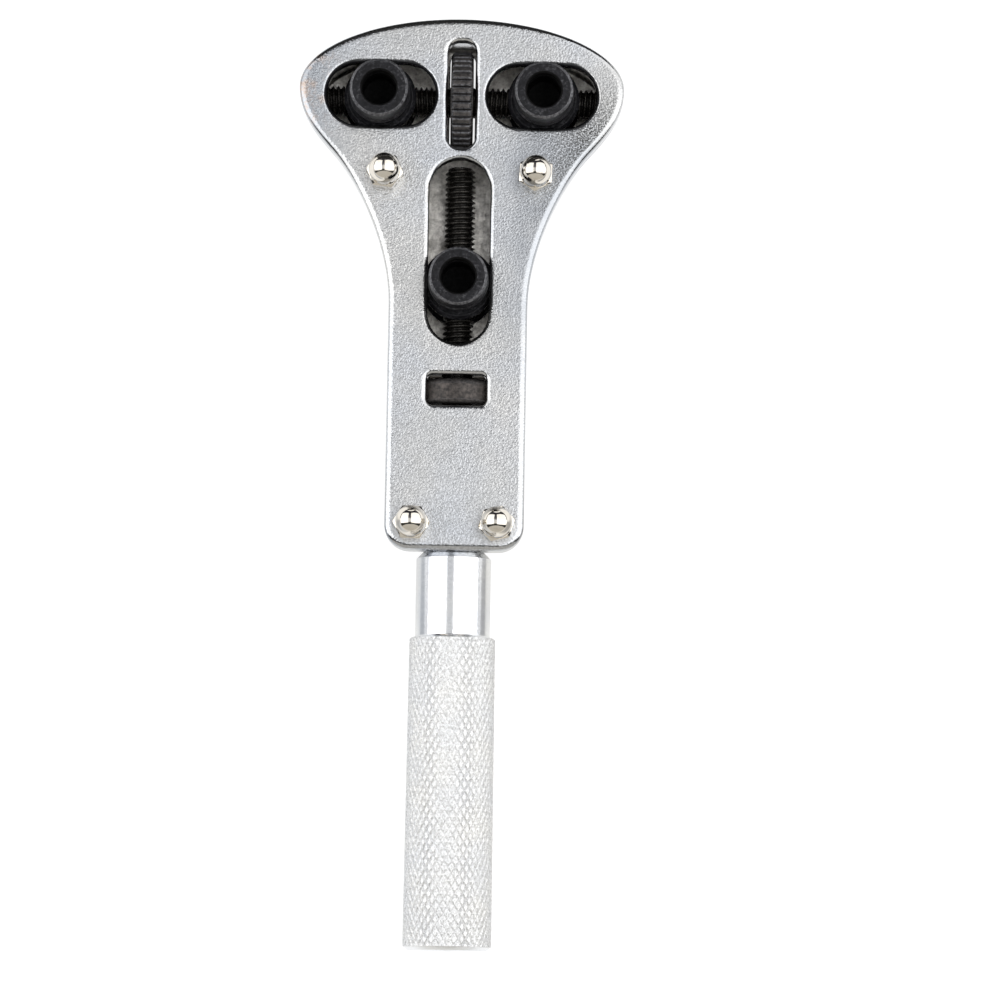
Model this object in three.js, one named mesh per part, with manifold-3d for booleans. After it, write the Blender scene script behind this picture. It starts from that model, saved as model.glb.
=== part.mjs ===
// Case back opener: an adjustable three-jaw wrench for screw-down watch case backs.
// Millimetres, +Z up. The tool lies on its back with the jaws up, the head towards +Y and the
// handle towards -Y. X = 0 is the plane of symmetry, Y = 0 is half the overall length, and Z = 0
// is the surface that the heads of the cover bolts rest on.
import * as THREE from "three";
import { mergeVertices } from "three/addons/utils/BufferGeometryUtils.js";
import Module from "manifold-3d";

// ---- driving dimensions -------------------------------------------------------------------
const LENGTH = 178; // head to handle end
const CROWN = 0.5; // how far the head's edge bulges past the head line, where t = 0
const HANDLE_END = LENGTH - CROWN; // t of the handle's end
const GAP = 0.3; // running and seating clearance between neighbours
const SMALL_GAP = 0.35; // radial clearance of a screw in its nut or bearing

const BACK_Z = 2.2; // outside face of the rear cover
const FRONT_Z = 19.2; // outside face of the front cover
const AXIS_Z = (BACK_Z + FRONT_Z) / 2; // both screws and the handle
const SEAM_Z = 14.4; // where the two covers meet
const PLATE = 2.6; // thickness of each cover's face
const FLOOR_Z = BACK_Z + PLATE; // inside face of the rear cover
const CEILING_Z = FRONT_Z - PLATE; // inside face of the front cover

const HEAD_HALF = 31.1; // half width of the head
const STEM_HALF = 13.25; // half width of the stem
const BODY_END = 101.9; // distance from the head line to the end of the covers
const STEM_CORNER = 4.8;
const FRONT_WALL = 2.4; // side wall of the front cover
const REAR_WALL = 3.5; // side wall of the rear cover at the seam
const REAR_DRAFT = THREE.MathUtils.degToRad(8);
const EDGE_ROUND = 1.2; // rounding of the front cover's outer edge
const BACK_BEVEL = 0.8; // bevel of the rear cover's back edge
const WINDOW_CHAMFER = 0.8; // bevel round each window

const UPPER_T = 14.4; // axis of the upper screw, from the head line
const JAW_X = 15.7; // the upper jaws at rest
const UPPER_SLOT = { x: 15.4, length: 20.9, width: 12.1 };
const LOWER_SLOT = { from: 26.7, to: 62.3, width: 11.7 };
const LOWER_JAW_T = 50.4; // the lower jaw at rest
const WHEEL_WINDOW = { from: 3.9, to: 24.6, width: 5.4, corner: 2.2 };
const REAR_WHEEL_WINDOW = { from: 3.9, to: 23, width: 4.9, corner: 1.5 };
const LOWER_WINDOW = { centre: 71.2, length: 5.9, width: 11.5, corner: 1.2 };

const SCREW_R = 2.95; // M6
const UPPER_SCREW = { journalR: 2, threadEnd: 27, end: 29 };
const LOWER_SCREW = { from: 27.2, collarR: 4, collarFrom: 74.2, collarTo: 76.2, journalR: 2.2, to: 83 };
const SCREW_BEARING = { x: 28.15, length: 1.7, inner: 2.3, outer: 3.3 };
const FRONT_BEARING = { from: 64.3, to: 67.3 };
const THRUST_BEARING = { from: 76.6, to: 80, bore: 2.5 };
const BEARING_HALF = 5.4; // half width of the lower screw's bearing blocks
const CLIP = { inner: 2.5, outer: 4.3, thickness: 0.8, opening: 1.2 };
const SOCKET_R = 5.55;
const SOCKET_BORE_R = 3.3;
const SOCKET_RIM_Z = 26.2;
const SOCKET_FLOOR_Z = 16.5;
const GROOVE = { below: 3, half: 0.6, depth: 0.9 }; // inside the socket, under its rim
const BIT_RING = { inner: 3.15, outer: 3.9, thickness: 0.6, opening: 0.7 };
const CARRIAGE_R = 6.9;
const SEAT = { r: 4.9, depth: 1.9 }; // the socket's seat in its carriage

const UPPER_WHEEL = { r: 9.8, thickness: 4.2, teeth: 40, toothDepth: 0.55 };
const LOWER_WHEEL = { r: 8.25, thickness: 4.75, centre: 71.3 };

const UPPER_BOLT = { x: 14.4, t: 29.7 };
const LOWER_BOLT = { x: 8.1, t: 97.0 };
const BOLT_R = 1.75;
const BOLT_HOLE_R = 2.1;
const NUT = { flats: 6.2, hexHeight: 3.0, domeR: 2.95, shoulder: 4.4, height: 8.3 };

const NECK = { start: 101.2, r: 7.15, end: 118 };
const GRIP = { rNeckEnd: 8.2, rFarEnd: 8.45, chamfer: 1.5 };
const STUD_R = 4;
const STUD = { from: 88, to: 112, bevel: 0.6 };
const TAIL_BLOCK = { from: 86.5, to: 97.9, half: 9.4 };
const NECK_SEAT = { r: 6.3, depth: 1 }; // the covers' round seat for the neck's end
const COLUMN_R = 3.5; // columns round the upper bolts

const ROUND = 32; // segments of a turned piece that shows
const SMALL_ROUND = 20; // segments of a bore or a small pin

// ---- helpers ------------------------------------------------------------------------------
const wasm = await Module();
wasm.setup();

/** A distance t along the tool from the head line, as a Y coordinate. */
const yAt = (t) => LENGTH / 2 - CROWN - t;

/** A three.js geometry as a manifold solid. */
function solid(geometry) {
  const bare = geometry.clone();
  bare.deleteAttribute("normal");
  bare.deleteAttribute("uv");
  const merged = mergeVertices(bare, 1e-4);
  return new wasm.Manifold(
    new wasm.Mesh({
      numProp: 3,
      vertProperties: merged.attributes.position.array,
      triVerts: new Uint32Array(merged.index.array),
    }),
  );
}

/** A manifold solid as a three.js geometry. */
function geometryOf(manifold) {
  const mesh = manifold.getMesh();
  const geometry = new THREE.BufferGeometry();
  geometry.setAttribute("position", new THREE.BufferAttribute(new Float32Array(mesh.vertProperties), 3));
  geometry.setIndex(new THREE.BufferAttribute(new Uint32Array(mesh.triVerts), 1));
  geometry.computeVertexNormals();
  return geometry;
}

/** Joins the additions to a base geometry, cuts the cutters out, and gives a geometry back. */
function shaped(base, additions, cutters) {
  let body = solid(base);
  additions.forEach((piece) => {
    body = body.add(solid(piece));
  });
  cutters.forEach((piece) => {
    body = body.subtract(solid(piece));
  });
  return geometryOf(body);
}

/** A box given by its lowest and highest corner. */
function box(x0, y0, z0, x1, y1, z1) {
  const geometry = new THREE.BoxGeometry(x1 - x0, y1 - y0, z1 - z0);
  return geometry.translate((x0 + x1) / 2, (y0 + y1) / 2, (z0 + z1) / 2);
}

/** A cylinder along Z between two heights. */
function uprightRod(x, y, z0, z1, r, segments = SMALL_ROUND) {
  const geometry = new THREE.CylinderGeometry(r, r, z1 - z0, segments);
  return geometry.rotateX(Math.PI / 2).translate(x, y, (z0 + z1) / 2);
}

/** A cylinder along Y on the tool's axis, between two distances from the head line. */
function lengthwiseRod(t0, t1, r, segments = SMALL_ROUND) {
  const geometry = new THREE.CylinderGeometry(r, r, t1 - t0, segments);
  return geometry.translate(0, yAt((t0 + t1) / 2), AXIS_Z);
}

/** A cylinder along X on the upper screw's axis. */
function crosswiseRod(x0, x1, r, segments = SMALL_ROUND) {
  const geometry = new THREE.CylinderGeometry(r, r, x1 - x0, segments);
  return geometry.rotateZ(Math.PI / 2).translate((x0 + x1) / 2, yAt(UPPER_T), AXIS_Z);
}

/** A turned piece about Z, from [radius, height] pairs that start and end on the axis or close. */
function turned(profile, segments = ROUND) {
  return new THREE.LatheGeometry(profile.map(([r, z]) => new THREE.Vector2(r, z)), segments).rotateX(
    Math.PI / 2,
  );
}

/** A turned piece on the tool's long axis, from [radius, distance from the head line] pairs. */
function turnedLengthwise(profile, segments = ROUND) {
  const points = profile.map(([r, t]) => new THREE.Vector2(r, yAt(t)));
  return new THREE.LatheGeometry(points.reverse(), segments).translate(0, 0, AXIS_Z);
}

/** A closed outline of a rectangle with round corners. */
function roundedRectangle(cx, cy, width, height, corner) {
  const shape = new THREE.Shape();
  const [hx, hy] = [width / 2 - corner, height / 2 - corner];
  shape.absarc(cx + hx, cy + hy, corner, 0, Math.PI / 2);
  shape.absarc(cx - hx, cy + hy, corner, Math.PI / 2, Math.PI);
  shape.absarc(cx - hx, cy - hy, corner, Math.PI, Math.PI * 1.5);
  shape.absarc(cx + hx, cy - hy, corner, Math.PI * 1.5, Math.PI * 2);
  return shape;
}

/** A prism of an outline between two heights. */
function prism(shape, z0, z1, curveSegments = 6) {
  const geometry = new THREE.ExtrudeGeometry(shape, { depth: z1 - z0, bevelEnabled: false, curveSegments });
  return geometry.translate(0, 0, z0);
}

/** A solid whose outline changes from level to level, given as [height, outline] pairs. */
function lofted(levels, curveSegments = 6) {
  const rings = levels.map(([z, shape]) => shape.getPoints(curveSegments).map((p) => [p.x, p.y, z]));
  const count = rings[0].length;
  const index = [];
  for (let level = 0; level < rings.length - 1; level++) {
    for (let i = 0; i < count; i++) {
      const [a, b] = [level * count + i, level * count + ((i + 1) % count)];
      index.push(a, b, b + count, a, b + count, a + count);
    }
  }
  const top = (rings.length - 1) * count;
  const flatten = ([x, y]) => new THREE.Vector2(x, y);
  const capOf = (ring) => THREE.ShapeUtils.triangulateShape(ring.map(flatten), []);
  capOf(rings[0]).forEach(([a, b, c]) => index.push(a, c, b));
  capOf(rings.at(-1)).forEach(([a, b, c]) => index.push(top + a, top + b, top + c));
  const geometry = new THREE.BufferGeometry();
  geometry.setAttribute("position", new THREE.Float32BufferAttribute(rings.flat(2), 3));
  geometry.setIndex(index);
  return geometry;
}

/** A flat open ring, as cut from sheet or bent from wire, lying in the XY plane. */
function openRing(inner, outer, thickness, opening) {
  const shape = new THREE.Shape();
  shape.absarc(0, 0, outer, opening / 2, Math.PI * 2 - opening / 2);
  shape.absarc(0, 0, inner, Math.PI * 2 - opening / 2, opening / 2, true);
  return new THREE.ExtrudeGeometry(shape, { depth: thickness, bevelEnabled: false, curveSegments: 18 });
}

// ---- the covers' outline ------------------------------------------------------------------

/** Half of the outline, from the middle of the head's edge to the middle of the stem's end. */
function halfOutline() {
  const at = (x, t) => new THREE.Vector2(x, yAt(t));
  const shoulder = at(HEAD_HALF, 13);
  const flank = at(24, 26.1);
  const curves = [
    new THREE.CubicBezierCurve(at(0, -CROWN), at(17, -CROWN), at(HEAD_HALF, 5.5), shoulder),
    new THREE.CubicBezierCurve(shoulder, at(HEAD_HALF, 18.5), at(27.2, 22.5), flank),
    new THREE.CubicBezierCurve(flank, at(19, 32.1), at(STEM_HALF, 44), at(STEM_HALF, 55)),
  ];
  const corner = new THREE.EllipseCurve(
    STEM_HALF - STEM_CORNER,
    yAt(BODY_END - STEM_CORNER),
    STEM_CORNER,
    STEM_CORNER,
    0,
    -Math.PI / 2,
    true,
  );
  const points = curves.flatMap((curve, i) => curve.getPoints(9).slice(i ? 1 : 0));
  points.push(...corner.getPoints(5), at(0, BODY_END));
  return points;
}

/** The whole outline moved inwards by a distance, anticlockwise. */
function coverOutline(inset = 0) {
  const right = halfOutline();
  const left = right.slice(1, -1).map((p) => new THREE.Vector2(-p.x, p.y));
  const ring = [...right, ...left.reverse()].reverse();
  const moved = ring.map((p, i) => {
    const before = ring[(i + ring.length - 1) % ring.length];
    const after = ring[(i + 1) % ring.length];
    const along = after.clone().sub(before).normalize();
    return new THREE.Vector2(p.x - along.y * inset, p.y + along.x * inset);
  });
  return new THREE.Shape(moved);
}

/** The outline as a solid whose top edge is rounded. */
function roundedBlock(z0, z1) {
  const geometry = new THREE.ExtrudeGeometry(coverOutline(), {
    depth: z1 - z0 - EDGE_ROUND,
    bevelThickness: EDGE_ROUND,
    bevelSize: EDGE_ROUND,
    bevelOffset: -EDGE_ROUND,
    bevelSegments: 3,
  });
  return geometry.translate(0, 0, z0);
}

/** The rear cover's outside: its walls lean in towards the back, and the back edge is bevelled. */
function draftedBlock(z0, z1) {
  const lean = (z1 - z0) * Math.tan(REAR_DRAFT);
  return lofted([
    [z0, coverOutline(lean + BACK_BEVEL)],
    [z0 + BACK_BEVEL, coverOutline(lean - BACK_BEVEL * Math.tan(REAR_DRAFT))],
    [z1, coverOutline()],
  ]);
}

// ---- windows and bolt places ---------------------------------------------------------------

/** The thumbwheels' windows in a cover as outlines, each wider by a margin. */
function windowOutlines(margin, upper = WHEEL_WINDOW) {
  return [
    roundedRectangle(
      0,
      yAt((upper.from + upper.to) / 2),
      upper.width + 2 * margin,
      upper.to - upper.from + 2 * margin,
      upper.corner + margin,
    ),
    roundedRectangle(
      0,
      yAt(LOWER_WINDOW.centre),
      LOWER_WINDOW.width + 2 * margin,
      LOWER_WINDOW.length + 2 * margin,
      LOWER_WINDOW.corner + margin,
    ),
  ];
}

/** The three jaw slots as outlines, each wider by a margin. */
function slotOutlines(margin) {
  const upper = [-1, 1].map((side) =>
    roundedRectangle(
      side * UPPER_SLOT.x,
      yAt(UPPER_T),
      UPPER_SLOT.length + 2 * margin,
      UPPER_SLOT.width + 2 * margin,
      UPPER_SLOT.width / 2 + margin - 0.01,
    ),
  );
  const lower = roundedRectangle(
    0,
    yAt((LOWER_SLOT.from + LOWER_SLOT.to) / 2),
    LOWER_SLOT.width + 2 * margin,
    LOWER_SLOT.to - LOWER_SLOT.from + 2 * margin,
    LOWER_SLOT.width / 2 + margin - 0.01,
  );
  return [...upper, lower];
}

/** The bevels at the mouths of windows, as cutters that widen towards an outside face. */
function mouthCutters(outlinesOf, faceZ, outward) {
  const reach = 2;
  const wide = outlinesOf(WINDOW_CHAMFER);
  return outlinesOf(0).map((narrow, i) => {
    const levels = [
      [faceZ - outward * WINDOW_CHAMFER, narrow],
      [faceZ, wide[i]],
      [faceZ + outward * reach, wide[i]],
    ];
    return lofted(outward > 0 ? levels : levels.reverse());
  });
}

const boltPlaces = [
  { name: "upper_left", x: -UPPER_BOLT.x, t: UPPER_BOLT.t, turn: -7 },
  { name: "upper_right", x: UPPER_BOLT.x, t: UPPER_BOLT.t, turn: 27 },
  { name: "lower_left", x: -LOWER_BOLT.x, t: LOWER_BOLT.t, turn: -2 },
  { name: "lower_right", x: LOWER_BOLT.x, t: LOWER_BOLT.t, turn: 13 },
];

/** The holes that the four bolts pass through. */
function boltHoles(z0, z1) {
  return boltPlaces.map(({ x, t }) => uprightRod(x, yAt(t), z0, z1, BOLT_HOLE_R, 16));
}

/** The columns round the upper two bolts. */
function boltColumns(z0, z1) {
  const upperBolts = boltPlaces.filter(({ t }) => t === UPPER_BOLT.t);
  return upperBolts.map(({ x, t }) => uprightRod(x, yAt(t), z0, z1, COLUMN_R));
}

/** The round seat for the neck's end and the hole for its stud. */
function handleSeat() {
  const seat = lengthwiseRod(BODY_END - NECK_SEAT.depth, BODY_END + 5, NECK_SEAT.r);
  const studHole = lengthwiseRod(TAIL_BLOCK.from, BODY_END, STUD_R + SMALL_GAP);
  return [seat, studHole];
}

// ---- covers -------------------------------------------------------------------------------
function frontCover() {
  const rimZ = SEAM_Z + GAP / 2;
  const belowRim = rimZ - 1;
  const cavity = prism(coverOutline(FRONT_WALL), belowRim, CEILING_Z);
  const through = [...windowOutlines(0), ...slotOutlines(0)].map((s) => prism(s, belowRim, FRONT_Z + 1));
  const mouths = [windowOutlines, slotOutlines].flatMap((outlines) => mouthCutters(outlines, FRONT_Z, 1));
  const trim = box(-40, -LENGTH, belowRim - 10, 40, LENGTH, rimZ);
  const hollow = shaped(roundedBlock(belowRim, FRONT_Z), [], [cavity]);
  return shaped(hollow, boltColumns(rimZ, CEILING_Z + 0.5), [
    trim,
    ...through,
    ...mouths,
    ...boltHoles(belowRim, FRONT_Z + 1),
    ...handleSeat(),
  ]);
}

function rearCover() {
  const rimZ = SEAM_Z - GAP / 2;
  const cavity = prism(coverOutline(REAR_WALL), FLOOR_Z, rimZ + 1);
  const rearOutlines = (margin) => windowOutlines(margin, REAR_WHEEL_WINDOW);
  const windows = rearOutlines(0).map((s) => prism(s, BACK_Z - 1, FLOOR_Z + 1));
  const mouths = mouthCutters(rearOutlines, BACK_Z, -1);
  // Cross walls that hold the lower screw's bearing blocks sideways.
  const cheeks = [FRONT_BEARING, THRUST_BEARING].flatMap(({ from, to }) =>
    [-1, 1].map((side) => {
      const [a, b] = [side * (BEARING_HALF + 0.4), side * (STEM_HALF - REAR_WALL + 0.5)];
      return box(Math.min(a, b), yAt(to + GAP), FLOOR_Z - 0.5, Math.max(a, b), yAt(from - GAP), rimZ);
    }),
  );
  // Open saddles in the side walls for the upper screw's bearings.
  const saddles = [-1, 1].flatMap((side) => {
    const { x, length, outer } = SCREW_BEARING;
    const [a, b] = [side * (x - length - GAP), side * (x + length / 2 + GAP)];
    const [x0, x1] = [Math.min(a, b), Math.max(a, b)];
    const r = outer + GAP;
    return [
      crosswiseRod(x0, x1, r),
      box(x0, yAt(UPPER_T) - r, AXIS_Z, x1, yAt(UPPER_T) + r, rimZ + 1),
    ];
  });
  const hollow = shaped(draftedBlock(BACK_Z, rimZ), [], [cavity]);
  return shaped(hollow, [...boltColumns(FLOOR_Z - 0.5, rimZ), ...cheeks], [
    ...windows,
    ...mouths,
    ...saddles,
    ...boltHoles(BACK_Z - 1, rimZ + 1),
    ...handleSeat(),
  ]);
}

// ---- fasteners ----------------------------------------------------------------------------
function coverBolt() {
  const headR = 2.7;
  const headTop = BACK_Z - GAP;
  const tipZ = FRONT_Z + 4;
  return turned(
    [
      [0, 0],
      [headR - 0.6, 0],
      [headR, 0.7],
      [headR, headTop],
      [BOLT_R, headTop],
      [BOLT_R, tipZ],
      [0, tipZ],
    ],
    16,
  );
}

function capNut() {
  const baseZ = FRONT_Z + GAP;
  const corner = NUT.flats / Math.sqrt(3);
  const hex = new THREE.CylinderGeometry(corner, corner, NUT.hexHeight, 6)
    .rotateX(Math.PI / 2)
    .rotateZ(Math.PI / 6)
    .translate(0, 0, baseZ + NUT.hexHeight / 2);
  const crown = NUT.height - NUT.shoulder;
  const arc = [0, 1, 2, 3, 4].map((i) => {
    const angle = (i / 4) * (Math.PI / 2);
    return [NUT.domeR * Math.cos(angle), baseZ + NUT.shoulder + crown * Math.sin(angle)];
  });
  arc[arc.length - 1][0] = 0;
  const dome = turned([[0, baseZ + 1], [NUT.domeR, baseZ + 1], ...arc], SMALL_ROUND);
  return shaped(hex, [dome], [uprightRod(0, 0, baseZ - 1, FRONT_Z + 4.4, BOLT_HOLE_R, 16)]);
}

// ---- upper jaws: one screw with a left and a right hand thread ----------------------------
function upperScrew() {
  const { journalR, threadEnd, end } = UPPER_SCREW;
  const points = [
    [0, -end],
    [journalR, -end],
    [journalR, -threadEnd],
    [SCREW_R, -threadEnd],
    [SCREW_R, threadEnd],
    [journalR, threadEnd],
    [journalR, end],
    [0, end],
  ];
  return new THREE.LatheGeometry(points.map(([r, x]) => new THREE.Vector2(r, x)), SMALL_ROUND).rotateZ(
    -Math.PI / 2,
  );
}

function upperThumbwheel() {
  const { r, thickness, teeth, toothDepth } = UPPER_WHEEL;
  const shape = new THREE.Shape();
  const pitch = (Math.PI * 2) / teeth;
  const corners = [
    [-0.32, r],
    [0.32, r],
    [0.42, r - toothDepth],
    [0.58, r - toothDepth],
  ];
  for (let tooth = 0; tooth < teeth; tooth++) {
    corners.forEach(([offset, radius]) => {
      const angle = (tooth + offset) * pitch;
      const [x, y] = [radius * Math.cos(angle), radius * Math.sin(angle)];
      if (tooth === 0 && offset < 0) shape.moveTo(x, y);
      else shape.lineTo(x, y);
    });
  }
  const bore = new THREE.Path();
  bore.absarc(0, 0, SCREW_R + SMALL_GAP, 0, Math.PI * 2, true);
  shape.holes.push(bore);
  const options = { depth: thickness, bevelEnabled: false, curveSegments: 14 };
  const geometry = new THREE.ExtrudeGeometry(shape, options);
  return geometry.translate(0, 0, -thickness / 2).rotateY(Math.PI / 2);
}

/** A plain bush about X, centred on the origin. */
function screwBearing() {
  const { inner, outer, length } = SCREW_BEARING;
  const half = length / 2;
  const profile = [
    [inner, -half],
    [outer, -half],
    [outer, half],
    [inner, half],
    [inner, -half],
  ];
  return new THREE.LatheGeometry(profile.map(([r, x]) => new THREE.Vector2(r, x)), SMALL_ROUND).rotateZ(
    -Math.PI / 2,
  );
}

// ---- jaws ---------------------------------------------------------------------------------

/** The drum that runs between the covers. The screw goes through it along X. */
function jawCarriage() {
  const [z0, z1] = [FLOOR_Z + GAP, CEILING_Z - GAP];
  const bevel = 0.6;
  const drum = turned([
    [0, z0],
    [CARRIAGE_R - bevel, z0],
    [CARRIAGE_R, z0 + bevel],
    [CARRIAGE_R, z1 - bevel],
    [CARRIAGE_R - bevel, z1],
    [0, z1],
  ]);
  const screwHole = new THREE.CylinderGeometry(SCREW_R + SMALL_GAP, SCREW_R + SMALL_GAP, 20, SMALL_ROUND)
    .rotateZ(Math.PI / 2)
    .translate(0, 0, AXIS_Z);
  const seat = uprightRod(0, 0, z1 - SEAT.depth, z1 + 1, SEAT.r);
  return shaped(drum, [], [screwHole, seat]);
}

/** The sleeve that a case key bit plugs into, with a groove for its retaining ring. */
function jawSocket() {
  const grooveZ = SOCKET_RIM_Z - GROOVE.below;
  const spigotZ = CEILING_Z - SEAT.depth; // a gap above the floor of its seat
  const spigotR = SEAT.r - GAP;
  return turned([
    [0, spigotZ],
    [spigotR, spigotZ],
    [spigotR, CEILING_Z],
    [SOCKET_R - 0.2, CEILING_Z],
    [SOCKET_R - 0.2, FRONT_Z + 0.2],
    [SOCKET_R + 0.25, FRONT_Z + 0.4],
    [SOCKET_R + 0.25, FRONT_Z + 1.6],
    [SOCKET_R, FRONT_Z + 1.8],
    [SOCKET_R, SOCKET_RIM_Z - 0.45],
    [SOCKET_R - 0.45, SOCKET_RIM_Z],
    [SOCKET_BORE_R + 0.25, SOCKET_RIM_Z],
    [SOCKET_BORE_R, SOCKET_RIM_Z - 0.25],
    [SOCKET_BORE_R, grooveZ + GROOVE.half],
    [SOCKET_BORE_R + GROOVE.depth, grooveZ + GROOVE.half],
    [SOCKET_BORE_R + GROOVE.depth, grooveZ - GROOVE.half],
    [SOCKET_BORE_R, grooveZ - GROOVE.half],
    [SOCKET_BORE_R, SOCKET_FLOOR_Z],
    [0, SOCKET_FLOOR_Z],
  ]);
}

/** The open spring ring that grips a bit, in the socket's groove. */
function bitRing() {
  const { inner, outer, thickness, opening } = BIT_RING;
  const z = SOCKET_RIM_Z - GROOVE.below - thickness / 2;
  return openRing(inner, outer, thickness, opening).translate(0, 0, z);
}

// ---- lower jaw's screw --------------------------------------------------------------------
function lowerScrew() {
  const { from, collarR, collarFrom, collarTo, journalR, to } = LOWER_SCREW;
  const bevel = 0.7;
  return turnedLengthwise(
    [
      [0, from],
      [SCREW_R - bevel, from],
      [SCREW_R, from + bevel],
      [SCREW_R, collarFrom],
      [collarR, collarFrom],
      [collarR, collarTo],
      [journalR, collarTo],
      [journalR, to],
      [0, to],
    ],
    SMALL_ROUND,
  );
}

function lowerThumbwheel() {
  const { r, thickness, centre } = LOWER_WHEEL;
  const [t0, t1] = [centre - thickness / 2, centre + thickness / 2];
  const bore = SCREW_R + SMALL_GAP;
  const bevel = 0.7;
  return turnedLengthwise([
    [bore, t0],
    [r - bevel, t0],
    [r, t0 + bevel],
    [r, t1 - bevel],
    [r - bevel, t1],
    [bore, t1],
    [bore, t0],
  ]);
}

/** A block between the covers that carries the lower screw. */
function bearingBlock({ from, to }, bore) {
  const block = box(-BEARING_HALF, yAt(to), FLOOR_Z + GAP, BEARING_HALF, yAt(from), CEILING_Z - GAP);
  return shaped(block, [], [lengthwiseRod(from - 1, to + 1, bore)]);
}

function retainingClip() {
  const { inner, outer, thickness, opening } = CLIP;
  return openRing(inner, outer, thickness, opening)
    .rotateZ(Math.PI / 2)
    .rotateX(Math.PI / 2)
    .translate(0, yAt(THRUST_BEARING.to + thickness / 2), AXIS_Z);
}

// ---- handle -------------------------------------------------------------------------------
function tailBlock() {
  const { from, to, half } = TAIL_BLOCK;
  const block = box(-half, yAt(to), FLOOR_Z + GAP, half, yAt(from), CEILING_Z - GAP);
  const notches = boltPlaces
    .filter(({ t }) => t === LOWER_BOLT.t)
    .map(({ x, t }) => uprightRod(x, yAt(t), 0, FRONT_Z, BOLT_HOLE_R));
  return shaped(block, [], [lengthwiseRod(from - 1, to + 1, STUD_R + SMALL_GAP), ...notches]);
}

function handleStud() {
  const { from, to, bevel } = STUD;
  return turnedLengthwise(
    [
      [0, from],
      [STUD_R - bevel, from],
      [STUD_R, from + bevel],
      [STUD_R, to - bevel],
      [STUD_R - bevel, to],
      [0, to],
    ],
    SMALL_ROUND,
  );
}

/** Neck and grip, turned from one bar. */
function handle() {
  const holeR = STUD_R + SMALL_GAP;
  const holeEnd = STUD.to + 0.4;
  return turnedLengthwise([
    [0, holeEnd],
    [holeR, holeEnd],
    [holeR, NECK.start],
    [5.4, NECK.start],
    [NECK.r, NECK.start + 1.75],
    [NECK.r, NECK.end],
    [GRIP.rNeckEnd - 0.3, NECK.end],
    [GRIP.rNeckEnd, NECK.end + 0.5],
    [GRIP.rFarEnd, HANDLE_END - GRIP.chamfer],
    [GRIP.rFarEnd - GRIP.chamfer, HANDLE_END],
    [0, HANDLE_END],
  ]);
}

// ---- materials ----------------------------------------------------------------------------
const finish = (color, roughness, metalness) =>
  new THREE.MeshStandardMaterial({ color, roughness, metalness });
const satinChrome = finish(0xa9adb2, 0.35, 1);
const polishedNickel = finish(0xcfc8bb, 0.12, 1);
const blackOxide = finish(0x2b2b2e, 0.5, 0.8);
const darkSteel = finish(0x3c3835, 0.35, 0.9);
const screwSteel = finish(0x4b4741, 0.4, 0.9);
const turnedAluminium = finish(0xd6d8da, 0.3, 1);
const zincSteel = finish(0x9b9da0, 0.4, 1);
const bearingBrass = finish(0xb59a5a, 0.4, 1);

// ---- assembly -----------------------------------------------------------------------------
const opener = new THREE.Group();

/** Adds a named piece to the tool, placed and turned about Z if asked. */
function add(name, geometry, material, { x = 0, y = 0, z = 0, turn = 0 } = {}) {
  const mesh = new THREE.Mesh(geometry, material);
  mesh.name = name;
  mesh.position.set(x, y, z);
  mesh.rotation.z = THREE.MathUtils.degToRad(turn);
  opener.add(mesh);
}

add("front_cover", frontCover(), satinChrome);
add("rear_cover", rearCover(), satinChrome);
boltPlaces.forEach(({ name, x, t, turn }) => {
  add(`${name}_cover_bolt`, coverBolt(), zincSteel, { x, y: yAt(t) });
  add(`${name}_cap_nut`, capNut(), polishedNickel, { x, y: yAt(t), turn });
});

const onUpperAxis = (x) => ({ x, y: yAt(UPPER_T), z: AXIS_Z });
add("upper_screw", upperScrew(), screwSteel, onUpperAxis(0));
add("upper_thumbwheel", upperThumbwheel(), darkSteel, onUpperAxis(0));
add("left_screw_bearing", screwBearing(), bearingBrass, onUpperAxis(-SCREW_BEARING.x));
add("right_screw_bearing", screwBearing(), bearingBrass, onUpperAxis(SCREW_BEARING.x));

const jaws = [
  { name: "left", x: -JAW_X, t: UPPER_T, turn: 0 },
  { name: "right", x: JAW_X, t: UPPER_T, turn: 0 },
  { name: "lower", x: 0, t: LOWER_JAW_T, turn: 90 },
];
jaws.forEach(({ name, x, t, turn }) => {
  const place = { x, y: yAt(t), turn };
  add(`${name}_jaw_carriage`, jawCarriage(), blackOxide, place);
  add(`${name}_jaw_socket`, jawSocket(), blackOxide, place);
  add(`${name}_bit_ring`, bitRing(), screwSteel, place);
});

add("lower_screw", lowerScrew(), screwSteel);
add("lower_thumbwheel", lowerThumbwheel(), darkSteel);
add("lower_front_bearing", bearingBlock(FRONT_BEARING, SCREW_R + SMALL_GAP), bearingBrass);
add("lower_thrust_bearing", bearingBlock(THRUST_BEARING, THRUST_BEARING.bore), bearingBrass);
add("lower_screw_clip", retainingClip(), zincSteel);

add("tail_block", tailBlock(), zincSteel);
add("handle_stud", handleStud(), zincSteel);
add("handle", handle(), turnedAluminium);

export default opener;
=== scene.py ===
from math import acos, atan2, cos, hypot, pi, radians, sin, sqrt, tan

import bmesh
import bpy
import numpy as np
from mathutils import Matrix, Vector
from mathutils.geometry import tessellate_polygon


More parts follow.
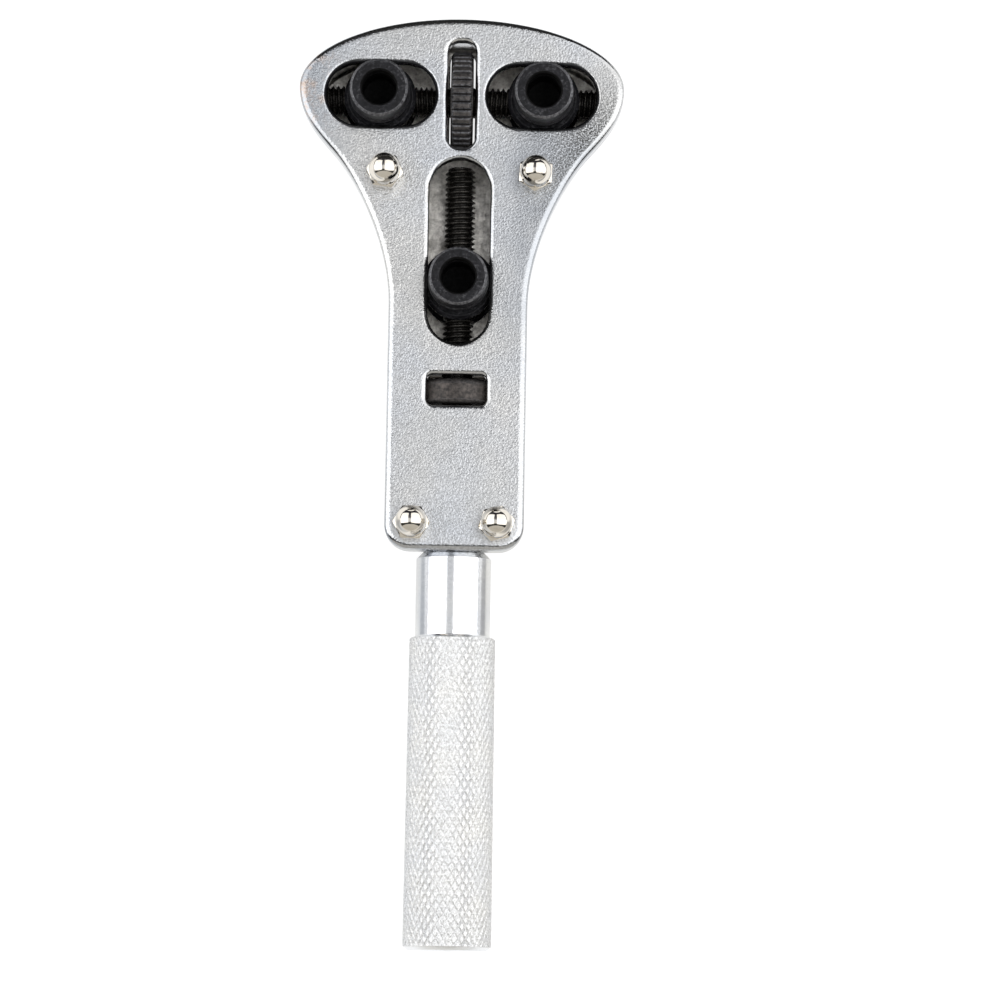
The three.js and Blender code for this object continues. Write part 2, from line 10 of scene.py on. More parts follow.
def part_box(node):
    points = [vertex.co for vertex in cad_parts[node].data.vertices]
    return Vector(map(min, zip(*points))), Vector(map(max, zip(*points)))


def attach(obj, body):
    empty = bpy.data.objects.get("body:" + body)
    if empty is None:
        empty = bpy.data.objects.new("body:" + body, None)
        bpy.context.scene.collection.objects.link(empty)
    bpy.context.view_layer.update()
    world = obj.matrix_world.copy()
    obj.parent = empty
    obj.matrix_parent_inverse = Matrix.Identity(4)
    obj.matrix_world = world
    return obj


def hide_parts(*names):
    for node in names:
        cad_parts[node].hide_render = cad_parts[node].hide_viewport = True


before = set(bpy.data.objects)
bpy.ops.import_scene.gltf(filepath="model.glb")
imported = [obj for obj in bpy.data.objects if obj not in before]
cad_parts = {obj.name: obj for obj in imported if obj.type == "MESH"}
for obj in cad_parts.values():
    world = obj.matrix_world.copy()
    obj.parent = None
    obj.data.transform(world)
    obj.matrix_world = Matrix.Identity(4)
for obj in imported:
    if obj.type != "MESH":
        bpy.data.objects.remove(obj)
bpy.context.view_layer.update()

# The pieces are built in millimetres, in the frame of the CAD model: the head points to +Y, the
# jaws up, and the handle to -Y. MM turns a length into Blender's metres. t is a distance from the
# head's edge towards the handle.
MM = 0.001


def box_mm(node):
    low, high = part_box(node)
    return low / MM, high / MM


def centre_mm(node):
    low, high = box_mm(node)
    return (low + high) / 2


COVER_LOW, COVER_HIGH = box_mm("front_cover")
REAR_LOW, REAR_HIGH = box_mm("rear_cover")
CROWN = 0.5
HEAD_Y = COVER_HIGH.y - CROWN
END_T = HEAD_Y - COVER_LOW.y
HEAD_HALF = COVER_HIGH.x
FRONT_Z = COVER_HIGH.z
FRONT_RIM_Z = COVER_LOW.z
REAR_RIM_Z = REAR_HIGH.z
BACK_Z = REAR_LOW.z
PLATE = 2.6
CEILING_Z = FRONT_Z - PLATE
FLOOR_Z = BACK_Z + PLATE
UPPER_AXIS = centre_mm("upper_screw")
AXIS_Z = UPPER_AXIS.z
STEM_HALF = 13.25
STEM_CORNER = 4.8
REAR_DRAFT = tan(radians(8))


def y_at(t):
    """The Y of a place that is t from the head's edge."""
    return HEAD_Y - t


# ---- mesh tools ----

class Shell:
    """The vertices and faces of one closed surface, put together from rows and flat fills."""

    def __init__(self):
        self.vertices = []
        self.faces = []

    def skin(self, rows, loop=False):
        """Joins neighbouring rows of points with quads. A row of one point is a pole."""
        starts = []
        for row in rows:
            starts.append((len(self.vertices), len(row)))
            self.vertices.extend(tuple(p) for p in row)
        following = starts[1:] + (starts[:1] if loop else [])
        for (a, count_a), (b, count_b) in zip(starts, following):
            count = max(count_a, count_b)
            for i in range(count):
                j = (i + 1) % count
                if count_a == 1:
                    self.faces.append((a, b + j, b + i))
                elif count_b == 1:
                    self.faces.append((a + i, a + j, b))
                else:
                    self.faces.append((a + i, a + j, b + j, b + i))
        return self

    def fill(self, z, outer, holes=()):
        """A flat face at a height, with holes. Outlines are arrays of (x, y)."""
        start = len(self.vertices)
        loops = [[Vector((x, y, z)) for x, y in outline] for outline in (outer, *holes)]
        self.vertices.extend(tuple(p) for ring in loops for p in ring)
        for triangle in tessellate_polygon(loops):
            self.faces.append(tuple(start + i for i in triangle))
        return self

    def mesh(self, name):
        mesh = bpy.data.meshes.new(name)
        mesh.from_pydata([(x * MM, y * MM, z * MM) for x, y, z in self.vertices], [], self.faces)
        clean(mesh)
        return mesh


def clean(mesh):
    """Welds the rows together, drops what has no area and points every face outwards."""
    work = bmesh.new()
    work.from_mesh(mesh)
    bmesh.ops.remove_doubles(work, verts=work.verts, dist=4e-7)
    bmesh.ops.dissolve_degenerate(work, edges=work.edges, dist=1e-7)
    bmesh.ops.recalc_face_normals(work, faces=work.faces)
    work.to_mesh(mesh)
    work.free()
    mesh.update()


def put(name, data):
    """A new object of the scene with a mesh, light or camera as its data."""
    obj = bpy.data.objects.new(name, data)
    bpy.context.scene.collection.objects.link(obj)
    return obj


def solid(name, shell):
    return put(name, shell.mesh(name))


def combine(obj, other, operation):
    """Cuts another solid out of obj, or joins it on, for good."""
    modifier = obj.modifiers.new("combine", "BOOLEAN")
    modifier.object = other
    modifier.operation = operation
    modifier.solver = "EXACT"
    bpy.context.view_layer.update()
    evaluated = obj.evaluated_get(bpy.context.evaluated_depsgraph_get())
    result = bpy.data.meshes.new_from_object(evaluated)
    obj.modifiers.clear()
    obj.data = result
    bpy.data.objects.remove(other)
    clean(result)


def show(obj, body, slot, nodes, sharp, material=None):
    """Shades a finished piece, with its slot's material if no other is named, and makes it
    stand for its CAD nodes. Edges sharper than an angle in degrees stay sharp."""
    mesh = obj.data
    mesh.materials.clear()
    mesh.materials.append(material or MATERIALS[slot])
    mesh.polygons.foreach_set("use_smooth", [True] * len(mesh.polygons))
    mesh.set_sharp_from_angle(angle=radians(sharp))
    weighted = obj.modifiers.new("weighted_normals", "WEIGHTED_NORMAL")
    weighted.keep_sharp = True
    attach(obj, body)
    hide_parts(*nodes)
    return obj


def repaint(obj, material, where):
    """Gives a second material to the faces whose centre, in millimetres, passes a test."""
    mesh = obj.data
    mesh.materials.append(material)
    index = len(mesh.materials) - 1
    for polygon in mesh.polygons:
        if where(polygon.center / MM):
            polygon.material_index = index


def filleted(points, steps=4):
    """A line of (r, h) or (r, h, radius) points whose marked corners are rounded."""
    result = []
    for i, (r, h, *radius) in enumerate(points):
        if not radius or i in (0, len(points) - 1):
            result.append((r, h))
            continue
        here = np.array((r, h))
        back = np.array(points[i - 1][:2]) - here
        ahead = np.array(points[i + 1][:2]) - here
        lengths = np.linalg.norm(back), np.linalg.norm(ahead)
        back, ahead = back / lengths[0], ahead / lengths[1]
        half = acos(np.clip(back @ ahead, -1, 1)) / 2
        shares = [0.97 if k in (0, len(points) - 1) else 0.48 for k in (i - 1, i + 1)]
        room = min(share * length for share, length in zip(shares, lengths))
        reach = min(radius[0] / tan(half), room)
        r_arc = reach * tan(half)
        middle = (back + ahead) / np.linalg.norm(back + ahead)
        centre = here + middle * r_arc / sin(half)
        first, last = here + back * reach - centre, here + ahead * reach - centre
        sweep = atan2(first[0] * last[1] - first[1] * last[0], first @ last)
        for k in range(steps + 1):
            a = sweep * k / steps
            x = first[0] * cos(a) - first[1] * sin(a)
            y = first[0] * sin(a) + first[1] * cos(a)
            result.append((centre[0] + x, centre[1] + y))
    return result


def soft_edge(inset, z, width, height, steps=10):
    """A quarter of an ellipse from a wall up to, or down to, a flat: (inset, z) points."""
    quarter = [k / steps * pi / 2 for k in range(steps + 1)]
    return [(inset + width * (1 - cos(a)), z - height * (1 - sin(a))) for a in quarter]


def circle_angles(segments):
    return np.arange(segments) * 2 * pi / segments


def ring_z(x, y, r, z, angles):
    """A ring about an upright axis. The radius may change with the angle."""
    r = np.broadcast_to(r, angles.shape)
    z = np.broadcast_to(z, angles.shape)
    return np.stack([x + r * np.cos(angles), y + r * np.sin(angles), z], 1)


def ring_y(r, t, angles):
    """A ring about the tool's long axis, t from the head's edge."""
    r = np.broadcast_to(r, angles.shape)
    y = np.full(angles.shape, y_at(t))
    return np.stack([r * np.cos(angles), y, AXIS_Z + r * np.sin(angles)], 1)


def ring_x(r, x, angles):
    """A ring about the upper screw's axis."""
    r = np.broadcast_to(r, angles.shape)
    x = np.full(angles.shape, x)
    return np.stack([x, UPPER_AXIS.y + r * np.cos(angles), AXIS_Z + r * np.sin(angles)], 1)


def lathe(profile, ring, segments=64, loop=False):
    """A turned shell. A point of the profile on the axis becomes a pole."""
    angles = circle_angles(segments)
    rows = []
    for r, h in profile:
        row = ring(max(r, 0), h, angles)
        rows.append(row[:1] if r < 1e-6 else row)
    return Shell().skin(rows, loop)


def lathe_z(x, y, profile, segments=64, loop=False):
    return lathe(profile, lambda r, h, a: ring_z(x, y, r, h, a), segments, loop)


def circle(x, y, r, segments=48):
    angles = circle_angles(segments)
    return np.stack([x + r * np.cos(angles), y + r * np.sin(angles)], 1)


def level(outline, z):
    """A flat outline as a row of points at a height."""
    return np.column_stack([outline, np.full(len(outline), z)])


# ---- outlines ----

def bezier(a, b, c, d, count):
    """Points and outward normals of a cubic curve given in (x, t)."""
    a, b, c, d = (np.array(p, float) for p in (a, b, c, d))
    u = (np.arange(count) / count)[:, None]
    point = (1 - u) ** 3 * a + 3 * (1 - u) ** 2 * u * b + 3 * (1 - u) * u**2 * c + u**3 * d
    along = (1 - u) ** 2 * (b - a) + 2 * (1 - u) * u * (c - b) + u**2 * (d - c)
    along /= np.linalg.norm(along, axis=1)[:, None]
    return point, np.stack([along[:, 1], -along[:, 0]], 1)


def half_outline():
    """The right half of the covers' outline in (x, t), with normals, head first."""
    flank = (24, 26.1)
    shoulder = (HEAD_HALF, 13)
    parts = [
        bezier((0, -CROWN), (17, -CROWN), (HEAD_HALF, 5.5), shoulder, 36),
        bezier(shoulder, (HEAD_HALF, 18.5), (27.2, 22.5), flank, 16),
        bezier(flank, (19, 32.1), (STEM_HALF, 44), (STEM_HALF, 55), 28),
    ]
    straight_t = np.linspace(55, END_T - STEM_CORNER, 12, endpoint=False)
    parts.append((np.stack([np.full(12, STEM_HALF), straight_t], 1), np.tile([1.0, 0.0], (12, 1))))
    a = np.linspace(0, pi / 2, 13)
    turn = np.stack([np.cos(a), np.sin(a)], 1)
    corner = np.array([STEM_HALF - STEM_CORNER, END_T - STEM_CORNER]) + STEM_CORNER * turn
    parts.append((corner, turn))
    end_x = np.linspace(STEM_HALF - STEM_CORNER, 0, 5)[1:]
    parts.append((np.stack([end_x, np.full(4, END_T)], 1), np.tile([0.0, 1.0], (4, 1))))
    return np.concatenate([p for p, _ in parts]), np.concatenate([n for _, n in parts])


OUTLINE_POINTS, OUTLINE_NORMALS = half_outline()


def cover_outline(inset):
    """The whole outline in (x, y), moved inwards by a distance."""
    half = OUTLINE_POINTS - OUTLINE_NORMALS * inset
    half[0, 0] = half[-1, 0] = 0
    right = np.stack([half[:, 0], y_at(half[:, 1])], 1)
    left = right[1:-1][::-1] * (-1, 1)
    return np.concatenate([right, left])


# Openings in the covers: centre (x, t), width, length and corner radius. A slot's corners are
# just short of half its width, so its ends are round.
WHEEL_WINDOW = (0, 14.25), 5.4, 20.7, 2.2
REAR_WHEEL_WINDOW = (0, 13.45), 4.9, 19.1, 1.5
SMALL_WINDOW = (0, 71.2), 11.5, 5.9, 1.2
LONG_SLOT = (0, 44.5), 11.7, 35.6, 5.849
CROSS_SLOTS = [((x, HEAD_Y - UPPER_AXIS.y), 20.9, 12.1, 6.049) for x in (-15.4, 15.4)]


def opening(centre, width, height, corner, margin, steps=8):
    """An opening's outline in (x, y), widened by a margin."""
    cx, cy = centre[0], y_at(centre[1])
    r = corner + margin
    hx, hy = width / 2 + margin - r, height / 2 + margin - r
    points = []
    for quarter, (sx, sy) in enumerate([(1, 1), (-1, 1), (-1, -1), (1, -1)]):
        for k in range(steps + 1):
            a = (quarter + k / steps) * pi / 2
            points.append((cx + sx * hx + r * cos(a), cy + sy * hy + r * sin(a)))
    return np.array(points)


def wheel_windows(margin):
    """The front cover's windows for the two thumbwheels."""
    return [opening(*WHEEL_WINDOW, margin), opening(*SMALL_WINDOW, margin)]


def rear_windows(margin):
    """The rear cover's windows for the two thumbwheels, the upper one closer round its wheel."""
    return [opening(*REAR_WHEEL_WINDOW, margin), opening(*SMALL_WINDOW, margin)]


def jaw_slots(margin):
    """The front cover's slots for the jaws."""
    return [opening(*slot, margin, steps=14) for slot in (*CROSS_SLOTS, LONG_SLOT)]


UPPER_BOLTS, LOWER_BOLTS = ("upper_left", "upper_right"), ("lower_left", "lower_right")
BOLTS = {name: centre_mm(f"{name}_cover_bolt") for name in (*UPPER_BOLTS, *LOWER_BOLTS)}
BOLT_HOLE_R = 2.1
COLUMN_R = 3.5


# ---- material tools ----

class Nodes:
    """A short way to write a material's node tree."""

    def __init__(self, name):
        self.material = bpy.data.materials.new(name)
        self.material.use_nodes = True
        self.tree = self.material.node_tree
        self.shader = self.tree.nodes["Principled BSDF"]
        self.place = self.new("TexCoord").outputs["Object"]

    def new(self, kind):
        return self.tree.nodes.new("ShaderNode" + kind)

    def link(self, value, socket):
        """Feeds a socket from another socket, or sets it to a plain value."""
        if isinstance(value, bpy.types.NodeSocket):
            self.tree.links.new(value, socket)
        else:
            socket.default_value = value

    def math(self, operation, *values):
        node = self.new("Math")
        node.operation = operation
        for value, socket in zip(values, node.inputs):
            self.link(value, socket)
        return node.outputs[0]

    def times(self, first, *others):
        for other in others:
            first = self.math("MULTIPLY", first, other)
        return first

    def noise(self, size_mm, detail=2.0, roughness=0.5, stretch=(1, 1, 1), offset=(0, 0, 0)):
        """Noise with features about size_mm across, longer along an axis with a small stretch."""
        mapping = self.new("Mapping")
        self.link(self.place, mapping.inputs["Vector"])
        mapping.inputs["Scale"].default_value = stretch
        mapping.inputs["Location"].default_value = offset
        node = self.new("TexNoise")
        self.link(mapping.outputs["Vector"], node.inputs["Vector"])
        numbers = {"Scale": 1 / (size_mm * MM), "Detail": detail, "Roughness": roughness}
        for name, number in numbers.items():
            node.inputs[name].default_value = number
        return node.outputs["Fac"]

    def ramp(self, value, low, high, to_low=0.0, to_high=1.0):
        """A value between low and high, spread over 0 to 1 or another span."""
        node = self.new("MapRange")
        self.link(value, node.inputs["Value"])
        inputs = ("From Min", "From Max", "To Min", "To Max")
        for name, number in zip(inputs, (low, high, to_low, to_high)):
            self.link(number, node.inputs[name])
        return node.outputs["Result"]

    def cloud(self, low, high, *noise, span=(0, 1), **placing):
        """Noise spread over a span. What follows low and high describes the noise."""
        return self.ramp(self.noise(*noise, **placing), low, high, *span)

    def uneven(self, least, most, *noise):
        """A roughness that wanders between two values."""
        return self.cloud(0.3, 0.7, *noise, span=(least, most))

    def mix(self, amount, a, b):
        """Blends two colours. An amount is a socket, and a colour a socket or three numbers."""
        node = self.new("Mix")
        node.data_type = "RGBA"
        self.link(amount, node.inputs["Factor"])
        for value, name in ((a, 6), (b, 7)):
            self.link((*value, 1) if isinstance(value, tuple) else value, node.inputs[name])
        return node.outputs[2]

    def over(self, base, color, *masks):
        """A colour laid over a base, as strong as the product of the masks."""
        return self.mix(self.times(*masks), base, color)

    def split(self, vector):
        node = self.new("SeparateXYZ")
        self.link(vector, node.inputs[0])
        return node.outputs

    def geometry(self, name):
        return self.new("NewGeometry").outputs[name]

    def bump(self, *layers):
        """Stacks (height, distance in mm, strength) layers and gives the last normal."""
        normal = None
        for height, distance, strength in layers:
            node = self.new("Bump")
            self.link(height, node.inputs["Height"])
            node.inputs["Distance"].default_value = distance * MM
            self.link(strength, node.inputs["Strength"])
            if normal is not None:
                self.link(normal, node.inputs["Normal"])
            normal = node.outputs["Normal"]
        return normal

    def finish(self, color, roughness, metallic, normal=None, specular=0.5):
        inputs = self.shader.inputs
        self.link(color, inputs["Base Color"])
        self.link(roughness, inputs["Roughness"])
        self.link(metallic, inputs["Metallic"])
        if normal is not None:
            self.link(normal, inputs["Normal"])
        inputs["Specular IOR Level"].default_value = specular
        return self.material


def edge_wear_and_highlight(n, size_mm):
    """How much an edge is lightened, as rubbing and as a painted highlight: convex places, broken
    up by noise.
    """
    return n.times(n.ramp(n.geometry("Pointiness"), 0.51, 0.56), n.cloud(0.35, 0.6, size_mm, 3))


def scratches(n, offset, direction):
    """Sparse fine lines along one direction, as 0 to 1."""
    lines = n.cloud(0.67, 0.72, 0.35, 1, stretch=direction, offset=offset)
    return n.times(lines, n.cloud(0.5, 0.62, 9, 2, offset=offset))


# ---- materials ----
# Colours are linear. The ramps over x, y and z are places on the tool, in metres.


def satin_chrome():
    """Plated casting: fine orange peel on the flats, smoother rounded edges, faint tarnish, and
    painted shade over the face's left and right parts.
    """
    n = Nodes("satin_chrome_plate")
    x, y, z = n.split(n.place)
    up = n.math("ABSOLUTE", n.split(n.geometry("Normal"))[2])
    tint = n.cloud(0.36, 0.64, 24, 3, 0.6)
    color = n.mix(tint, (0.59, 0.612, 0.648), (0.648, 0.643, 0.63))
    grain = n.cloud(0.4, 0.6, 0.37, 1, 0.6, offset=(3, 1, 2))
    color = n.over(color, (0.36, 0.365, 0.37), grain, 0.5)
    dulled = n.cloud(0.4, 0.66, 11, 4, 0.6, offset=(9, 4, 1))
    color = n.over(color, (0.52, 0.52, 0.505), dulled, 0.35)
    # Painted shade, bluish, over the face's left part.
    color = n.over(color, (0.36, 0.39, 0.43), n.ramp(x, -0.019, -0.028, 0, 0.6))
    # Painted shade over the right part of the head, broken up by noise.
    shaded_right = (n.ramp(x, 0.004, 0.012), n.ramp(y, 0.012, 0.035), n.ramp(y, 0.074, 0.062))
    shade_patches = n.cloud(0.3, 0.62, 7, 4, 0.6, span=(0.55, 1), offset=(1, 8, 3))
    color = n.over(color, (0.37, 0.39, 0.42), *shaded_right, shade_patches, 0.75)
    # Dark specks on the flat face beside the right slot.
    beside_slot = (n.ramp(x, 0.009, 0.024), n.ramp(y, 0.036, 0.056), n.ramp(y, 0.08, 0.067))
    dark_specks = n.cloud(0.45, 0.53, 0.34, 2, 0.6, offset=(6, 2, 9))
    color = n.over(color, (0.05, 0.05, 0.045), *beside_slot, n.ramp(up, 0.97, 0.998), dark_specks, 0.9)
    left_end = (n.ramp(x, -0.022, -0.030), n.ramp(y, 0.064, 0.071), n.ramp(z, 0.0165, 0.018))
    rust = n.cloud(0.48, 0.62, 2.4, 4, 0.65)
    color = n.over(color, (0.52, 0.34, 0.22), *left_end, rust, 0.5)
    lines = scratches(n, (5, 2, 0), (0.12, 1, 1))
    color = n.over(color, (0.3, 0.31, 0.33), lines, 0.25)
    rough = n.times(n.uneven(0.29, 0.35, 9, 3, 0.5), n.ramp(up, 0.965, 0.995, 0.4, 1))
    peel = (n.noise(0.36, 1, 0.5), 0.12, n.ramp(up, 0.93, 0.99, 0.12, 0.8))
    normal = n.bump((n.noise(17, 2), 0.15, 0.35), peel, (lines, 0.01, 0.3))
    return n.finish(color, rough, 1.0, normal)


def raw_casting():
    """The unpolished inside of the rear cover: grey, mottled, stained by oil."""
    n = Nodes("raw_zinc_casting")
    mottle = n.cloud(0.36, 0.66, 1.6, 5, 0.7)
    color = n.mix(mottle, (0.95, 0.92, 0.86), (0.42, 0.4, 0.37))
    stains = n.cloud(0.5, 0.68, 5, 4, 0.6, offset=(2, 6, 0))
    color = n.over(color, (0.12, 0.11, 0.1), stains, 0.6)
    normal = n.bump((n.noise(2.2, 3), 0.08, 0.4), (n.noise(0.4, 3, 0.6), 0.05, 0.7))
    return n.finish(color, n.uneven(0.3, 0.45, 0.8, 4), 0.9, normal)


def polished_nickel():
    """Bright, slightly yellow plating with fine polishing marks and a little tarnish."""
    n = Nodes("bright_nickel")
    tarnish = n.cloud(0.5, 0.72, 1.4, 4, 0.6)
    color = n.mix(n.times(tarnish, 0.35), (0.78, 0.735, 0.66), (0.56, 0.5, 0.41))
    rough = n.cloud(0.35, 0.7, 0.7, 4, 0.6, span=(0.035, 0.13))
    normal = n.bump((n.noise(1.3, 2), 0.02, 0.25), (n.noise(0.22, 2), 0.004, 0.3))
    return n.finish(color, rough, 1.0, normal)


def black_oxide():
    """Blackened turned steel: satin, faintly blue, with tiny rubbed specks."""
    n = Nodes("black_oxide_steel")
    mottle = n.cloud(0.38, 0.68, 0.9, 4, 0.7)
    color = n.mix(mottle, (0.0025, 0.0025, 0.0035), (0.014, 0.014, 0.017))
    specks = n.cloud(0.5, 0.68, 0.42, 3, 0.7)
    color = n.over(color, (0.2, 0.2, 0.215), specks, n.cloud(0.35, 0.6, 1.5, 2), 0.3)
    rings = n.noise(0.16, 1, stretch=(0.02, 0.02, 1))
    normal = n.bump((rings, 0.006, 0.35), (n.noise(0.28, 3), 0.014, 0.45))
    return n.finish(color, n.uneven(0.34, 0.5, 0.5, 4, 0.6), 0.05, normal, specular=0.22)


def worn_edge_and_highlight():
    """Edges of the blackened parts where the finish is half gone, lightened also as a painted
    highlight.
    """
    n = Nodes("worn_black_edge_and_highlight")
    left = n.cloud(0.36, 0.62, 0.5, 4, 0.7)
    color = n.mix(left, (0.02, 0.02, 0.023), (0.17, 0.17, 0.18))
    normal = n.bump((n.noise(0.2, 3), 0.012, 0.5))
    return n.finish(color, n.uneven(0.28, 0.42, 0.3, 3), 0.5, normal)


def bore_black_and_shade():
    """The unpolished, matt inside of a blackened bore, its colour darkened further as painted
    shade.
    """
    n = Nodes("matt_bore_black")
    mottle = n.cloud(0.4, 0.65, 0.8, 4, 0.6)
    color = n.mix(mottle, (0.0015, 0.0015, 0.0015), (0.006, 0.006, 0.006))
    normal = n.bump((n.noise(0.3, 3), 0.02, 0.5))
    return n.finish(color, n.uneven(0.6, 0.8, 0.5, 3), 0.0, normal, specular=0.12)


def dark_steel():
    """Dark hardened steel of the thumbwheels, brownish where thumbs rub it."""
    n = Nodes("dark_wheel_steel")
    mottle = n.cloud(0.38, 0.66, 1.5, 4, 0.7)
    color = n.mix(mottle, (0.014, 0.0135, 0.014), (0.055, 0.048, 0.046))
    rubbed = n.cloud(0.52, 0.72, 0.3, 4, 0.7, offset=(7, 0, 3))
    color = n.over(color, (0.3, 0.275, 0.25), rubbed, 0.3)
    # Convex edges lightened as wear and as a painted highlight.
    color = n.over(color, (0.3, 0.28, 0.27), edge_wear_and_highlight(n, 0.8), 0.5)
    normal = n.bump((n.noise(0.3, 3, 0.6), 0.018, 0.5), (n.noise(0.9, 2), 0.02, 0.3))
    return n.finish(color, n.uneven(0.28, 0.42, 0.6, 4, 0.6), 0.5, normal)


def thumbed_steel():
    """The middle of a wheel's rim, rubbed brown by thumbs."""
    n = Nodes("thumbed_wheel_steel")
    mottle = n.cloud(0.36, 0.66, 1.1, 4, 0.7)
    color = n.mix(mottle, (0.022, 0.02, 0.019), (0.1, 0.086, 0.078))
    normal = n.bump((n.noise(0.3, 3, 0.6), 0.015, 0.5))
    return n.finish(color, n.uneven(0.3, 0.45, 0.5, 4, 0.6), 0.6, normal)


def screw_steel():
    """Oiled dark thread, mottled darker by dirt, its convex edges lightened as rubbing and as a
    painted highlight.
    """
    n = Nodes("dark_screw_steel")
    dirt = n.cloud(0.35, 0.68, 1.2, 4, 0.65)
    color = n.mix(dirt, (0.03, 0.027, 0.024), (0.01, 0.009, 0.0085))
    # Convex edges lightened as wear and as a painted highlight.
    color = n.over(color, (0.3, 0.28, 0.25), edge_wear_and_highlight(n, 1.0), 0.3)
    normal = n.bump((n.noise(0.22, 3), 0.01, 0.4))
    return n.finish(color, n.uneven(0.2, 0.36, 0.5, 3), 0.55, normal)


def turned_aluminium():
    """Bare aluminium with fine turning lines across the tool's long axis."""
    n = Nodes("turned_aluminium_bar")
    around = (0.03, 1, 0.03)
    color = n.mix(n.cloud(0.35, 0.65, 7, 3), (0.8, 0.81, 0.83), (0.86, 0.86, 0.85))
    lines = n.noise(0.28, 2, stretch=around)
    coarse = n.noise(0.8, 1, stretch=around, offset=(1, 4, 2))
    normal = n.bump((lines, 0.012, 0.9), (coarse, 0.02, 0.6), (n.noise(0.5, 3), 0.028, 0.7))
    return n.finish(color, n.ramp(lines, 0.35, 0.65, 0.1, 0.24), 1.0, normal)


def knurled_aluminium():
    """The matt bright faces of a knurl, with dust in its grooves."""
    n = Nodes("knurled_aluminium_grip")
    color = n.mix(n.cloud(0.35, 0.65, 7, 3), (0.87, 0.875, 0.88), (0.91, 0.905, 0.885))
    color = n.over(color, (0.52, 0.52, 0.51), n.cloud(0.44, 0.58, 0.36, 2, 0.7), 0.65)
    normal = n.bump((n.noise(0.3, 3), 0.06, 0.8))
    return n.finish(color, n.uneven(0.4, 0.55, 0.4, 3), 1.0, normal)


def zinc_steel():
    """Bright zinc plating, a little cloudy."""
    n = Nodes("bright_zinc_steel")
    color = n.mix(n.cloud(0.35, 0.65, 2.2, 4, 0.6), (0.6, 0.62, 0.66), (0.76, 0.75, 0.7))
    # Convex edges lightened as wear and as a painted highlight.
    color = n.over(color, (0.86, 0.86, 0.86), edge_wear_and_highlight(n, 0.7), 0.5)
    normal = n.bump((n.noise(0.3, 3), 0.012, 0.4))
    return n.finish(color, n.uneven(0.2, 0.36, 0.7, 4), 1.0, normal)


def bearing_brass():
    """Sawn and drilled brass, coloured very dark."""
    n = Nodes("bearing_brass_stock")
    dull = n.cloud(0.4, 0.65, 2.5, 4, 0.6)
    color = n.mix(dull, (0.13, 0.1, 0.055), (0.055, 0.042, 0.024))
    normal = n.bump((n.noise(0.25, 2, stretch=(1, 0.05, 0.05)), 0.012, 0.4))
    return n.finish(color, n.uneven(0.25, 0.45, 0.8, 4), 1.0, normal)


# One material for each slot of the CAD model, by name.
MATERIALS = {
    make.__name__: make()
    for make in (satin_chrome, polished_nickel, black_oxide, dark_steel, screw_steel)
    + (turned_aluminium, zinc_steel, bearing_brass)
}
WORN_EDGE_AND_HIGHLIGHT = worn_edge_and_highlight()
RAW = raw_casting()
THUMBED = thumbed_steel()
BORE = bore_black_and_shade()
KNURLED = knurled_aluminium()


# ---- covers ----
LIP, LIP_DROP = 1.0, 0.75
EDGE, EDGE_DROP = 1.4, 1.0
BREAK = 0.15
FRONT_WALL, REAR_WALL = 2.4, 3.5


def window_walls(shell, outlines_of, inner_z, outer_z):
    """Walls of a cover's windows with a rounded mouth at outer_z and a small bevel at inner_z."""
    side = 1 if outer_z > inner_z else -1
    profile = [(BREAK, inner_z), (0, inner_z + side * BREAK)]
    profile += soft_edge(0, outer_z, LIP, side * LIP_DROP)
    by_margin = [(outlines_of(margin), z) for margin, z in profile]
    for window in range(len(by_margin[0][0])):
        shell.skin([level(outlines[window], z) for outlines, z in by_margin])


def column(root, end, flare):
    """The outside of a round column inside a cover, flared where it starts."""
    side = 1 if root > end else -1
    foot = [(COLUMN_R + flare, root), (COLUMN_R, root - side * flare)]
    return [*foot, (COLUMN_R, end + side * BREAK), (COLUMN_R - BREAK, end)]


def bore_bolts(shell, names, end, outer_z, outside=()):
    """Bolt holes from a column's end, or a cover's inside, to its outer face. Gives the outlines
    they leave in the inner and in the outer flat."""
    side = 1 if outer_z > end else -1
    bevel = 0.1
    hole = [(BOLT_HOLE_R + bevel, end), (BOLT_HOLE_R, end + side * bevel)]
    hole += [(BOLT_HOLE_R, outer_z - side * bevel), (BOLT_HOLE_R + bevel, outer_z)]
    profile = [*outside, *hole]
    angles = circle_angles(48)
    for name in names:
        place = BOLTS[name]
        shell.skin([ring_z(place.x, place.y, r, z, angles) for r, z in profile])
    places = [BOLTS[name] for name in names]
    return [[circle(p.x, p.y, r) for p in places] for r in (profile[0][0], profile[-1][0])]


